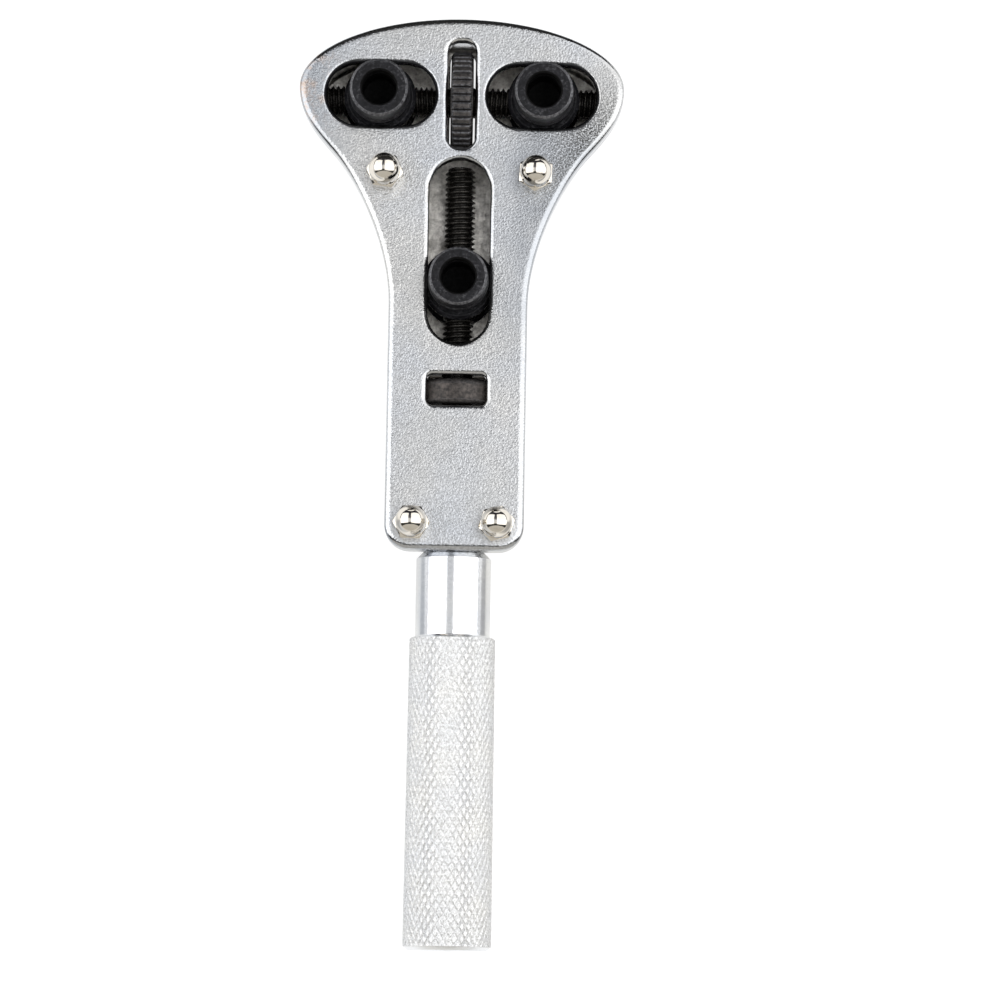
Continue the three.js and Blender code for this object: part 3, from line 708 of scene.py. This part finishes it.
def front_cover():
    shell = Shell()
    wall = [(FRONT_WALL + 0.35, CEILING_Z), (FRONT_WALL, CEILING_Z, 0.3)]
    wall += [(FRONT_WALL, FRONT_RIM_Z, 0.15), (0, FRONT_RIM_Z, 0.2), (0, FRONT_RIM_Z + 1)]
    section = filleted(wall, steps=6) + soft_edge(0, FRONT_Z, EDGE, EDGE_DROP)
    shell.skin([level(cover_outline(inset), z) for inset, z in section])
    window_walls(shell, wheel_windows, CEILING_Z, FRONT_Z)
    window_walls(shell, jaw_slots, CEILING_Z, FRONT_Z)
    columns = column(CEILING_Z, FRONT_RIM_Z, 0.2)
    upper = bore_bolts(shell, UPPER_BOLTS, FRONT_RIM_Z, FRONT_Z, columns)
    lower = bore_bolts(shell, LOWER_BOLTS, CEILING_Z, FRONT_Z)
    ceiling_holes, face_holes = ([*a, *b] for a, b in zip(upper, lower))
    face_windows = [*wheel_windows(LIP), *jaw_slots(LIP)]
    ceiling_windows = [*wheel_windows(BREAK), *jaw_slots(BREAK)]
    shell.fill(FRONT_Z, cover_outline(section[-1][0]), [*face_windows, *face_holes])
    shell.fill(CEILING_Z, cover_outline(section[0][0]), [*ceiling_windows, *ceiling_holes])
    cover = solid("front_cover_shell", shell)
    combine(cover, handle_seat(), "DIFFERENCE")
    return cover


def handle_seat():
    """Cutter for the round seat of the neck's end and the stud behind it."""
    profile = [(0, 86.5), (4.35, 86.5), (4.35, END_T - 1.2), (4.55, END_T - 1)]
    profile += [(6.3, END_T - 1), (6.3, END_T + 6), (0, END_T + 6)]
    return solid("handle_seat", lathe(profile, ring_y, 72))


def rear_cover():
    shell = Shell()
    lean = (REAR_RIM_Z - BACK_Z) * REAR_DRAFT
    wall = [(REAR_WALL + 0.7, FLOOR_Z), (REAR_WALL, FLOOR_Z, 0.6), (REAR_WALL, REAR_RIM_Z, 0.15)]
    wall += [(0, REAR_RIM_Z, 0.2), (lean, BACK_Z, 1.4), (lean + 1.7, BACK_Z)]
    section = filleted(wall, steps=8)
    shell.skin([level(cover_outline(inset), z) for inset, z in section])
    window_walls(shell, rear_windows, FLOOR_Z, BACK_Z)
    columns = column(FLOOR_Z, REAR_RIM_Z, 0.3)
    floor_holes, back_holes = bore_bolts(shell, UPPER_BOLTS, REAR_RIM_Z, BACK_Z, columns)
    shell.fill(BACK_Z, cover_outline(section[-1][0]), [*rear_windows(LIP), *back_holes])
    shell.fill(FLOOR_Z, cover_outline(section[0][0]), [*rear_windows(BREAK), *floor_holes])
    cover = solid("rear_cover_shell", shell)
    for cheek in cheeks():
        combine(cover, cheek, "UNION")
    for cutter in (*saddles(), *lower_bolt_holes(), handle_seat()):
        combine(cover, cutter, "DIFFERENCE")
    return cover


def block(name, low, high):
    """A plain addition for a Boolean."""
    (x0, y0, z0), (x1, y1, z1) = low, high
    corners = np.array([(x0, y0), (x1, y0), (x1, y1), (x0, y1)])
    shell = Shell().skin([level(corners, z0), level(corners, z1)])
    return solid(name, shell.fill(z0, corners).fill(z1, corners))


def cheeks():
    """The cross walls beside the lower screw's bearing blocks."""
    inner, outer, past = 5.8, STEM_HALF - 3, 0.3
    result = []
    for node in ("lower_front_bearing", "lower_thrust_bearing"):
        low, high = box_mm(node)
        for x0, x1 in ((-outer, -inner), (inner, outer)):
            corner = (x0, low.y - past, FLOOR_Z - 0.5)
            result.append(block("cheek", corner, (x1, high.y + past, REAR_RIM_Z)))
    return result


def saddles():
    """Cutters for the open seats of the upper screw's end bearings."""
    result = []
    inner_x, clearance = 25.8, 0.3
    for node in ("left_screw_bearing", "right_screw_bearing"):
        low, high = box_mm(node)
        side = 1 if high.x > 0 else -1
        far = max(abs(low.x), abs(high.x)) + clearance
        r = (high.z - low.z) / 2 + clearance
        a = np.linspace(pi, 2 * pi, 17)
        outline = [(r * cos(v), AXIS_Z + r * sin(v)) for v in a]
        outline = [*outline, (r, REAR_RIM_Z + 1), (-r, REAR_RIM_Z + 1)]
        rows = [[(side * x, UPPER_AXIS.y + y, z) for y, z in outline] for x in (inner_x, far)]
        shell = Shell().skin(rows)
        count = len(outline)
        shell.faces += [tuple(range(count)), tuple(range(count, 2 * count))]
        result.append(solid("saddle", shell))
    return result


def lower_bolt_holes():
    low, high = BACK_Z - 1, REAR_RIM_Z + 1
    profile = [(0, low), (BOLT_HOLE_R, low), (BOLT_HOLE_R, high), (0, high)]
    for name in LOWER_BOLTS:
        place = BOLTS[name]
        yield solid("bolt_hole", lathe_z(place.x, place.y, profile, 40))


# ---- fasteners ----
def cap_nut(name, turn):
    """A hexagon whose corners are turned off to scallops, under a tall dome."""
    node = f"{name}_cap_nut"
    place, (_, high) = centre_mm(node), box_mm(node)
    across, hex_height, dome_r, dome_height, dome_rows = 6.2, 3.0, 2.93, 3.1, 20
    base, crown_z = FRONT_Z + 0.03, high.z
    segments = 96
    angles = circle_angles(segments) + radians(turn)

    def ring(r, z):
        return ring_z(place.x, place.y, r, z, angles)

    corner = np.mod(circle_angles(segments), pi / 3) - pi / 6
    flat = across / 2 / np.cos(corner)
    hexagon = np.minimum(flat, across / sqrt(3) * 0.985)
    slope = tan(radians(30))
    drop = np.maximum(0, hexagon - across / 2 * 0.985) * slope
    top = base + hex_height
    shoulder = crown_z - dome_height
    rows = [
        [(place.x, place.y, FRONT_Z + 4.3)],
        ring(1.6, FRONT_Z + 4.3),
        ring(BOLT_HOLE_R, FRONT_Z + 3.9),
        ring(2.1, base),
        ring(hexagon - 0.22, base),
        ring(hexagon, base + 0.16 + drop * 0.6),
        ring(hexagon, top - drop - 0.06),
        ring(hexagon - 0.05, top - drop - 0.01),
        ring(across / 2 * 0.97, top),
    ]
    profile = filleted([(3.0, top), (dome_r, top, 0.12), (dome_r, shoulder)], steps=3)[1:]
    rows += [ring(r, z) for r, z in profile]
    for k in range(1, dome_rows):
        a = k / dome_rows * pi / 2
        rows.append(ring(dome_r * cos(a), shoulder + (crown_z - shoulder) * sin(a)))
    rows.append([(place.x, place.y, crown_z)])
    nut = solid(f"{name}_dome_nut", Shell().skin(rows))
    show(nut, "housing", "polished_nickel", [node], 24)


def cover_bolt(name, turn):
    """A pan-head machine screw, its recess a tapered cross."""
    node = f"{name}_cover_bolt"
    place, (low, high) = centre_mm(node), box_mm(node)
    head_top = BACK_Z - 0.02
    head_r, shank_r = 2.7, 1.75
    crown = [(0, 0), (1.5, 0.02), (2.2, 0.16), (2.55, 0.5), (head_r, 1.0)]
    profile = [(r, low.z + rise) for r, rise in crown]
    profile += [(head_r, head_top - 0.1), (head_r - 0.1, head_top)]
    profile += [(shank_r + 0.1, head_top), (shank_r, head_top + 0.15)]
    profile += [(shank_r, high.z - 0.3), (shank_r - 0.3, high.z), (0, high.z)]
    bolt = solid(f"{name}_pan_bolt", lathe_z(place.x, place.y, profile, 64))
    quad = ((1, -1), (1, 1), (-1, 1), (-1, -1))
    for quarter in (0, 1):
        a = radians(turn + 90 * quarter)
        along, across = np.array([cos(a), sin(a)]), np.array([-sin(a), cos(a)])
        rows = []
        for z, reach, width in ((low.z - 0.2, 1.5, 0.42), (low.z + 1.25, 0.75, 0.26)):
            corners = [along * s * reach + across * v * width for s, v in quad]
            rows.append(level(np.array(corners) + (place.x, place.y), z))
        shell = Shell().skin(rows)
        shell.faces += [(0, 1, 2, 3), (4, 5, 6, 7)]
        combine(bolt, solid("recess", shell), "DIFFERENCE")
    show(bolt, "housing", "zinc_steel", [node], 28)


# ---- jaws ----
def carriage(name, body):
    """A spool that runs between the covers, with the screw's hole through it."""
    node = f"{name}_jaw_carriage"
    place, (low, high) = centre_mm(node), box_mm(node)
    r, base, top = (high.x - low.x) / 2, low.z, high.z
    waist, seat_r = r - 0.65, 4.9
    profile = [(0, base), (r - 0.5, base, 0.08), (r, base + 0.5, 0.1), (r, base + 1.6, 0.12)]
    profile += [(waist, base + 2.0, 0.25), (waist, top - 2.1, 0.25), (r, top - 1.7, 0.12)]
    profile += [(r, top - 0.7, 0.1), (r - 0.62, top - 0.02, 0.06), (r - 0.85, top - 0.02, 0.04)]
    profile += [(r - 0.95, top - 0.12, 0.04), (seat_r, top - 0.12, 0.1)]
    profile = filleted([*profile, (seat_r, top - 1.9), (0, top - 1.9)], steps=3)
    spool = solid(f"{name}_carriage_spool", lathe_z(place.x, place.y, profile, 96))
    half_hole = [(0, 9), (3.55, 9), (3.55, 5.6), (3.3, 5.2)]
    hole = [(size, -h) for size, h in half_hole] + half_hole[::-1]
    ring, here = (ring_y, y_at(place.y)) if name == "lower" else (ring_x, place.x)
    cutter = lathe([(size, here + h) for size, h in hole], ring, 48)
    combine(spool, solid("screw_hole", cutter), "DIFFERENCE")
    show(spool, body, "black_oxide", [node], 35)


def socket(name, body):
    """A turned sleeve with a collar, a bevelled rim and a groove inside for the bit's ring."""
    node = f"{name}_jaw_socket"
    place, (low, high) = centre_mm(node), box_mm(node)
    rim, groove = high.z, centre_mm(f"{name}_bit_ring").z
    foot_r, neck_r, collar_r, sleeve_r, bore_r, groove_r = 4.6, 5.35, 5.8, 5.55, 3.3, 4.2
    profile = [(0, low.z), (foot_r, low.z, 0.2), (foot_r, CEILING_Z, 0.1)]
    profile += [(neck_r, CEILING_Z, 0.15), (neck_r, FRONT_Z + 0.25, 0.08)]
    profile += [(collar_r, FRONT_Z + 0.42, 0.12), (collar_r, FRONT_Z + 1.5, 0.16)]
    profile += [(sleeve_r, FRONT_Z + 1.78, 0.12), (sleeve_r, rim - 0.45, 0.1)]
    profile += [(5.12, rim, 0.09), (3.62, rim, 0.06), (bore_r, rim - 0.32, 0.08)]
    profile += [(bore_r, groove + 0.6, 0.05), (groove_r, groove + 0.6, 0.05)]
    profile += [(groove_r, groove - 0.6, 0.05), (bore_r, groove - 0.6, 0.05)]
    profile = filleted([*profile, (bore_r, 16.9, 0.3), (0, 16.5)], steps=3)
    sleeve = solid(f"{name}_socket_sleeve", lathe_z(place.x, place.y, profile, 112))
    show(sleeve, body, "black_oxide", [node], 35)

    def from_axis(p):
        return hypot(p.x - place.x, p.y - place.y)

    def in_bore(p):
        r = from_axis(p)
        return r < 4.25 and 16 < p.z < rim - 0.01 and (r < 3.6 or p.z < rim - 0.5)

    # Painted shade: the bore and the groove take the near-black bore material.
    repaint(sleeve, BORE, in_bore)
    # The rim's outer bevel takes the lighter edge colour, as wear and as a painted highlight.
    repaint(sleeve, WORN_EDGE_AND_HIGHLIGHT, lambda p: p.z > rim - 0.55 and 5.08 < from_axis(p))


def bit_ring(name, body):
    """An open wire ring sprung into the socket's groove."""
    node = f"{name}_bit_ring"
    place = centre_mm(node)
    wire, bend, opening = 0.28, 3.5, 0.35
    rows = []
    section = circle_angles(14)
    for a in np.linspace(opening, 2 * pi - opening, 65):
        r = bend + wire * np.cos(section)
        z = place.z + wire * np.sin(section)
        rows.append(np.stack([place.x + r * cos(a), place.y + r * sin(a), z], 1))
    ends = [rows[0].mean(0, keepdims=True), *rows, rows[-1].mean(0, keepdims=True)]
    # Painted shade: the wire ring takes the near-black bore material.
    show(solid(f"{name}_wire_ring", Shell().skin(ends)), body, "screw_steel", [node], 40, BORE)


# ---- screws and wheels ----
SCREW_R = 2.95
WHEEL_BORE_R = 2.97
PITCH = 1.0
RINGS_PER_PITCH, THREAD_FACETS = 12, 28
THREAD_PHASES = [0, 0.13, 0.42, 0.5, 0.63, 0.71, 1.0]
THREAD_DEPTHS = [0, 0, 0.54, 0.61, 0.61, 0.54, 0]
TIP_R = 0.001


def thread_radius(advance, angles, fade):
    """Radius of a thread round one ring, advance pitches along, its depth scaled by fade."""
    phase = np.mod(advance + angles / (2 * pi), 1)
    return SCREW_R - fade * np.interp(phase, THREAD_PHASES, THREAD_DEPTHS)


def upper_screw():
    """One rod with threads of opposite hand on its two sides and a plain middle for the wheel."""
    angles = circle_angles(THREAD_FACETS)
    thread_end, end = 27.0, box_mm("upper_screw")[1].x
    journal = [(1.75, end), (2.0, end - 0.25), (2.0, thread_end)]
    rows = [ring_x(TIP_R, -end, angles)[:1], *(ring_x(r, -x, angles) for r, x in journal)]
    for x in np.arange(-thread_end, thread_end + 1e-6, PITCH / RINGS_PER_PITCH):
        fade = np.clip((abs(x) - 2.3) / 0.5, 0, 1)
        r = thread_radius(-abs(x) / PITCH, -angles, fade)
        rows.append(ring_x(np.minimum(r, SCREW_R - 0.65 + (thread_end - abs(x))), x, angles))
    rows += [ring_x(r, x, angles) for r, x in reversed(journal)]
    rows.append(ring_x(TIP_R, end, angles)[:1])
    screw = solid("upper_double_screw", Shell().skin(rows))
    show(screw, "upper_drive", "screw_steel", ["upper_screw"], 50)


def lower_screw():
    """The lower jaw's rod: thread, plain seat for the wheel, collar and journal."""
    angles = circle_angles(THREAD_FACETS)
    low, high = box_mm("lower_screw")
    start, end = y_at(high.y), y_at(low.y)
    thread_end, collar_start, collar_end = 64.0, 74.2, 76.2
    collar_r, journal_r, groove_r = 4, 2.3, 2.05
    rows = [ring_y(TIP_R, start, angles)[:1], ring_y(1.6, start, angles)]
    for t in np.arange(start + 0.1, thread_end, PITCH / RINGS_PER_PITCH):
        fade = np.clip((thread_end - t) / 0.9, 0, 1)
        r = thread_radius(-t / PITCH, angles, fade)
        rows.append(ring_y(np.minimum(r, SCREW_R - 0.9 + (t - start)), t, angles))
    clip = y_at(centre_mm("lower_screw_clip").y)
    profile = [(SCREW_R, thread_end), (SCREW_R, collar_start, 0.1), (collar_r, collar_start, 0.2)]
    profile += [(collar_r, collar_end, 0.2), (journal_r, collar_end, 0.1)]
    profile += [(journal_r, clip - 0.5, 0.04), (groove_r, clip - 0.5, 0.04)]
    profile += [(groove_r, clip + 0.5, 0.04), (journal_r, clip + 0.5, 0.04)]
    profile = filleted([*profile, (journal_r, end - 0.35, 0.05), (1.95, end)], steps=3)
    rows += [ring_y(r, t, angles) for r, t in profile]
    rows.append(ring_y(TIP_R, end, angles)[:1])
    screw = solid("lower_single_screw", Shell().skin(rows))
    show(screw, "lower_drive", "screw_steel", ["lower_screw"], 50)


def upper_wheel():
    """A narrow wheel with forty rounded ribs whose ends are bevelled."""
    teeth, samples, rib_depth = 40, 12, 0.55
    low, high = box_mm("upper_thumbwheel")
    radius, half = (high.z - low.z) / 2, high.x
    angles = circle_angles(teeth * samples)
    beside = np.abs(np.mod(angles * teeth / (2 * pi), 1) * 2 - 1)
    rib = radius - rib_depth * beside**3.2
    edge = [(0.0, 0.78), (0.1, 0.6), (0.28, 0.36), (0.5, 0.14), (0.72, 0.03), (0.9, 0.0)]
    across = [(half - d, radius - cut) for d, cut in edge]
    dish = half - 0.45
    side = [(WHEEL_BORE_R, half - 0.3), (3.2, half, 0.1), (4.3, half, 0.1), (4.7, dish, 0.15)]
    side += [(7.3, dish, 0.15), (7.8, half, 0.15), (radius - 0.9, half)]
    side = filleted(side, steps=2)
    rows = [ring_x(r, x, angles) for r, x in side]
    rows += [ring_x(np.minimum(rib, r), x, angles) for x, r in across]
    rows += [ring_x(np.minimum(rib, r), -x, angles) for x, r in reversed(across)]
    rows += [ring_x(r, -x, angles) for r, x in reversed(side)]
    wheel = solid("upper_ribbed_wheel", Shell().skin(rows, loop=True))
    show(wheel, "upper_drive", "dark_steel", ["upper_thumbwheel"], 40)

    # The ribs' edges take the lighter edge colour, as wear and as a painted highlight.
    def on_rib_edge(p):
        depth = radius - hypot(p.y - UPPER_AXIS.y, p.z - AXIS_Z)
        return abs(p.x) < half - 0.2 and 0.1 < depth < 0.33

    repaint(wheel, WORN_EDGE_AND_HIGHLIGHT, on_rib_edge)


def lower_wheel():
    """A plain turned wheel with well rounded rims and a faintly worn middle."""
    low, high = box_mm("lower_thumbwheel")
    r, t0, t1 = high.x, y_at(high.y), y_at(low.y)
    hub_r = 3.2
    profile = [(WHEEL_BORE_R, t0 + 0.3), (hub_r, t0, 0.1), (r, t0, 1.5), (r, t0 + 2.2)]
    profile += [(r - 0.05, t0 + 2.4), (r, t0 + 2.6), (r, t1, 0.8), (hub_r, t1, 0.1)]
    profile = filleted([*profile, (WHEEL_BORE_R, t1 - 0.3)], steps=8)
    wheel = solid("lower_rounded_wheel", lathe(profile, ring_y, 160, loop=True))
    show(wheel, "lower_drive", "dark_steel", ["lower_thumbwheel"], 40)
    repaint(wheel, THUMBED, lambda p: t0 + 1.1 < y_at(p.y) < t1 - 1.0)


# ---- handle ----
def handle():
    """Neck and grip of one bar. The grip's diamonds are left standing between crossed grooves."""
    starts, lengths, keep, depth, crest = 36, 24, 0.5, 0.19, 0.02
    low, high = box_mm("handle")
    begin, end = y_at(high.y), y_at(low.y)
    inner_end, shoulder = 112.4, 118.0
    first, last = shoulder + 0.35, end - 0.75
    spigot_r, neck_r, near_r, far_r = 4.35, 7.15, 8.2, high.x

    def place(u, v, cut):
        t = first + (last - first) * v / lengths
        r = near_r + (far_r - near_r) * v / lengths - cut
        a = 2 * pi * u / starts
        return (r * cos(a), y_at(t), AXIS_Z + r * sin(a))

    offsets = (0, 0.5 - keep / 2, 0.5 + keep / 2)
    angles = np.array([2 * pi * (k + o) / starts for k in range(starts) for o in offsets])
    neck = [(spigot_r, inner_end), (spigot_r, begin + 0.25, 0.1), (4.6, begin, 0.05)]
    neck += [(5.4, begin, 0.1), (neck_r, begin + 1.75, 0.12), (neck_r, shoulder - 0.25, 0.1)]
    neck += [(7.3, shoulder, 0.05), (near_r - 0.45, shoulder, 0.1), (near_r - 0.3, shoulder + 0.12)]
    rows = [ring_y(TIP_R, inner_end, angles)[:1]]
    rows += [ring_y(r, t, angles) for r, t in filleted(neck, steps=3)]
    cuts = np.array([depth if o == 0 else crest for _ in range(starts) for o in offsets])
    rows.append(ring_y(near_r - cuts, first, angles))
    shell = Shell().skin(rows)
    foot = [(far_r - 0.25, last + 0.12), (far_r - 0.85, end, 0.15), (1.3, end, 0.08)]
    foot = filleted([*foot, (0.9, end - 0.5)], steps=3)
    rows = [ring_y(far_r - cuts, last, angles), *(ring_y(r, t, angles) for r, t in foot)]
    rows.append(ring_y(TIP_R, end - 0.9, angles)[:1])
    shell.skin(rows)

    half = keep / 2
    for j in range(2 * lengths + 1):
        v = j / 2
        at_start, at_end = j == 0, j == 2 * lengths
        for k in range(starts):
            u = k + (0.5 if j % 2 == 0 else 0)
            outer = [(u + 0.5, v), (u, v + 0.5), (u - 0.5, v), (u, v - 0.5)]
            inner = [(u + half, v), (u, v + half), (u - half, v), (u, v - half)]
            base = len(shell.vertices)
            shell.vertices += [place(a, b, depth) for a, b in outer]
            shell.vertices += [place(a, b, crest) for a, b in inner]
            shell.vertices.append(place(u, v, crest if at_start or at_end else -crest))
            for i in range(4):
                n = (i + 1) % 4
                if (at_start and i >= 2) or (at_end and i < 2):
                    continue
                shell.faces.append((base + i, base + n, base + 4 + n, base + 4 + i))
                shell.faces.append((base + 4 + i, base + 4 + n, base + 8))
    piece = solid("handle_bar", shell)
    show(piece, "housing", "turned_aluminium", ["handle"], 20)
    repaint(piece, KNURLED, lambda p: first - 0.1 < y_at(p.y) < last + 0.1)


# ---- everything in its place ----
ZINC_PLATED = ("handle_stud", "tail_block", "lower_screw_clip")
for node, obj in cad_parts.items():
    obj.data.materials.clear()
    obj.data.materials.append(MATERIALS["zinc_steel" if node in ZINC_PLATED else "bearing_brass"])

show(front_cover(), "housing", "satin_chrome", ["front_cover"], 32)
rear = show(rear_cover(), "housing", "satin_chrome", ["rear_cover"], 32)
repaint(rear, RAW, lambda p: FLOOR_Z - 0.01 < p.z < FLOOR_Z + 0.5)
for bolt_name, nut_turn in zip(BOLTS, (-7, 27, -2, 13)):
    cap_nut(bolt_name, nut_turn)
    cover_bolt(bolt_name, 3 * nut_turn + 20)
for jaw in ("left", "right", "lower"):
    for make in (carriage, socket, bit_ring):
        make(jaw, f"{jaw}_jaw")
upper_screw()
lower_screw()
upper_wheel()
lower_wheel()
handle()


# ---- floor, light and camera ----
# Lengths here are in metres.


def panel(name, corners, material):
    mesh = bpy.data.meshes.new(name)
    mesh.from_pydata(corners, [], [(0, 1, 2, 3)])
    mesh.materials.append(material)
    return put(name, mesh)


def pale_floor():
    """A white floor. What reflections see of it is dull beside the grip and dark to the right."""
    n = Nodes("pale_floor")
    n.finish(n.mix(n.cloud(0.3, 0.7, 40, 2), (0.3, 0.3, 0.3), (0.31, 0.31, 0.31)), 0.9, 0.0)
    x, y, _z = n.split(n.place)
    beside_neck = n.ramp(y, -0.055, -0.04)
    lent = n.mix(n.ramp(x, -0.06, 0.0), (0.36, 0.4, 0.46), (0.5, 0.49, 0.46))
    lent = n.over(lent, (0.15, 0.17, 0.2), beside_neck, n.ramp(x, -0.03, -0.042))
    lent = n.over(lent, (0.08, 0.08, 0.085), beside_neck, n.ramp(x, 0.026, 0.036))
    lent = n.over(lent, (0.1, 0.1, 0.105), n.ramp(x, 0.035, 0.055))
    near_axis = n.ramp(n.math("ABSOLUTE", x), 0.03, 0.02)
    beside_grip = n.times(near_axis, n.ramp(y, -0.024, -0.036, 0.35, 1))
    near = n.math("MAXIMUM", beside_grip, n.ramp(y, -0.012, 0.01))
    lent = n.over(lent, (0.78, 0.785, 0.79), near)
    lent = n.over(lent, (0.5, 0.485, 0.45), n.ramp(y, -0.1, -0.16))
    seen = n.new("LightPath").outputs["Is Camera Ray"]
    n.link(n.mix(seen, lent, (0.82, 0.82, 0.82)), n.shader.inputs["Emission Color"])
    n.shader.inputs["Emission Strength"].default_value = 1
    half = 4.0
    corners = [(-half, -half, 0), (half, -half, 0), (half, half, 0), (-half, half, 0)]
    floor = panel("floor", corners, n.material)


def softbox(name, centre, size, facing, watts):
    light = bpy.data.lights.new(name, "AREA")
    light.shape = "RECTANGLE"
    light.size, light.size_y = size
    light.energy = watts
    obj = put(name, light)
    obj.location = centre
    obj.rotation_euler = (0, facing, 0)


def studio():
    """Two large softboxes with a narrow gap between them, and a room that is dim on the head's
    side and bright on the handle's side. A narrow dark card hangs behind the head."""
    depth_y, middle_y, top_z, low_z, radiance = 1.32, 0.30, 0.80, 0.16, 1.35
    for side, inner_x in ((-1, -0.28), (1, 0.05)):
        low_x = side * 1.2
        centre = ((inner_x + low_x) / 2, middle_y, (top_z + low_z) / 2)
        run, fall = abs(low_x - inner_x), top_z - low_z
        length = hypot(run, fall)
        watts = radiance * pi * length * depth_y
        softbox(f"softbox_{side}", centre, (length, depth_y), side * atan2(fall, run), watts)
    n = Nodes("dark_card")
    n.finish(n.mix(n.noise(20), (0.015, 0.015, 0.015), (0.02, 0.02, 0.02)), 0.9, 0.0)
    low_left, low_right = (-0.045, 0.1, 0.012), (0.05, 0.1, 0.012)
    corners = [low_left, low_right, (0.004, 0.104, 0.045), (-0.045, 0.104, 0.045)]
    card = panel("dark_card", corners, n.material)
    card.visible_camera = False
    card.visible_shadow = False
    card.visible_diffuse = False

    world = bpy.data.worlds.new("studio_room")
    world.use_nodes = True
    bpy.context.scene.world = world
    tree = world.node_tree

    def node(kind):
        return tree.nodes.new("ShaderNode" + kind)

    split = node("SeparateXYZ")
    tree.links.new(node("TexCoord").outputs["Generated"], split.inputs[0])
    spread = node("MapRange")
    spread.inputs["From Min"].default_value = -1
    tree.links.new(split.outputs["Y"], spread.inputs["Value"])
    ramp = node("ValToRGB")
    tree.links.new(spread.outputs["Result"], ramp.inputs["Fac"])
    # How bright the room is towards each Y of a direction.
    stops = [
        (-1.0, (0.58, 0.56, 0.52)),
        (-0.6, (0.62, 0.6, 0.56)),
        (-0.575, (0.05, 0.05, 0.05)),
        (-0.34, (0.05, 0.05, 0.05)),
        (-0.32, (0.7, 0.7, 0.7)),
        (0.12, (0.7, 0.71, 0.73)),
        (0.26, (0.16, 0.16, 0.18)),
        (0.93, (0.02, 0.02, 0.025)),
        (0.945, (1.2, 1.2, 1.2)),
        (0.98, (1.2, 1.2, 1.2)),
        (0.99, (0.02, 0.02, 0.025)),
    ]
    while len(ramp.color_ramp.elements) < len(stops):
        ramp.color_ramp.elements.new(0.5)
    for element, (y, color) in zip(ramp.color_ramp.elements, stops):
        element.position = (y + 1) / 2
        element.color = (*color, 1)
    seen = node("LightPath").outputs["Is Camera Ray"]
    backdrop = node("Mix")
    backdrop.data_type = "RGBA"
    tree.links.new(seen, backdrop.inputs["Factor"])
    tree.links.new(ramp.outputs["Color"], backdrop.inputs[6])
    backdrop.inputs[7].default_value = (0.96, 0.96, 0.96, 1)
    tree.links.new(backdrop.outputs[2], tree.nodes["Background"].inputs["Color"])


def camera():
    """Looks down on the tool, from slightly towards the handle's end."""
    elevation, azimuth, roll = (radians(v) for v in (83.8, 1.5, -0.51))
    target, distance = Vector((0.00864, -0.00297, 0.012)), 1.0
    across = cos(elevation)
    away = Vector((sin(azimuth) * across, -cos(azimuth) * across, sin(elevation)))
    data = bpy.data.cameras.new("camera")
    data.sensor_width = 36
    data.lens = 188.3
    data.clip_end = 20
    obj = put("camera", data)
    right = Vector((0, 0, 1)).cross(away).normalized()
    up = away.cross(right)
    turned_right = right * cos(roll) + up * sin(roll)
    turned_up = up * cos(roll) - right * sin(roll)
    axes = Matrix((turned_right, turned_up, away)).transposed()
    obj.matrix_world = axes.to_4x4()
    obj.location = target + away * distance
    bpy.context.scene.camera = obj


pale_floor()
studio()
camera()
bpy.context.scene.view_settings.view_transform = "Standard"
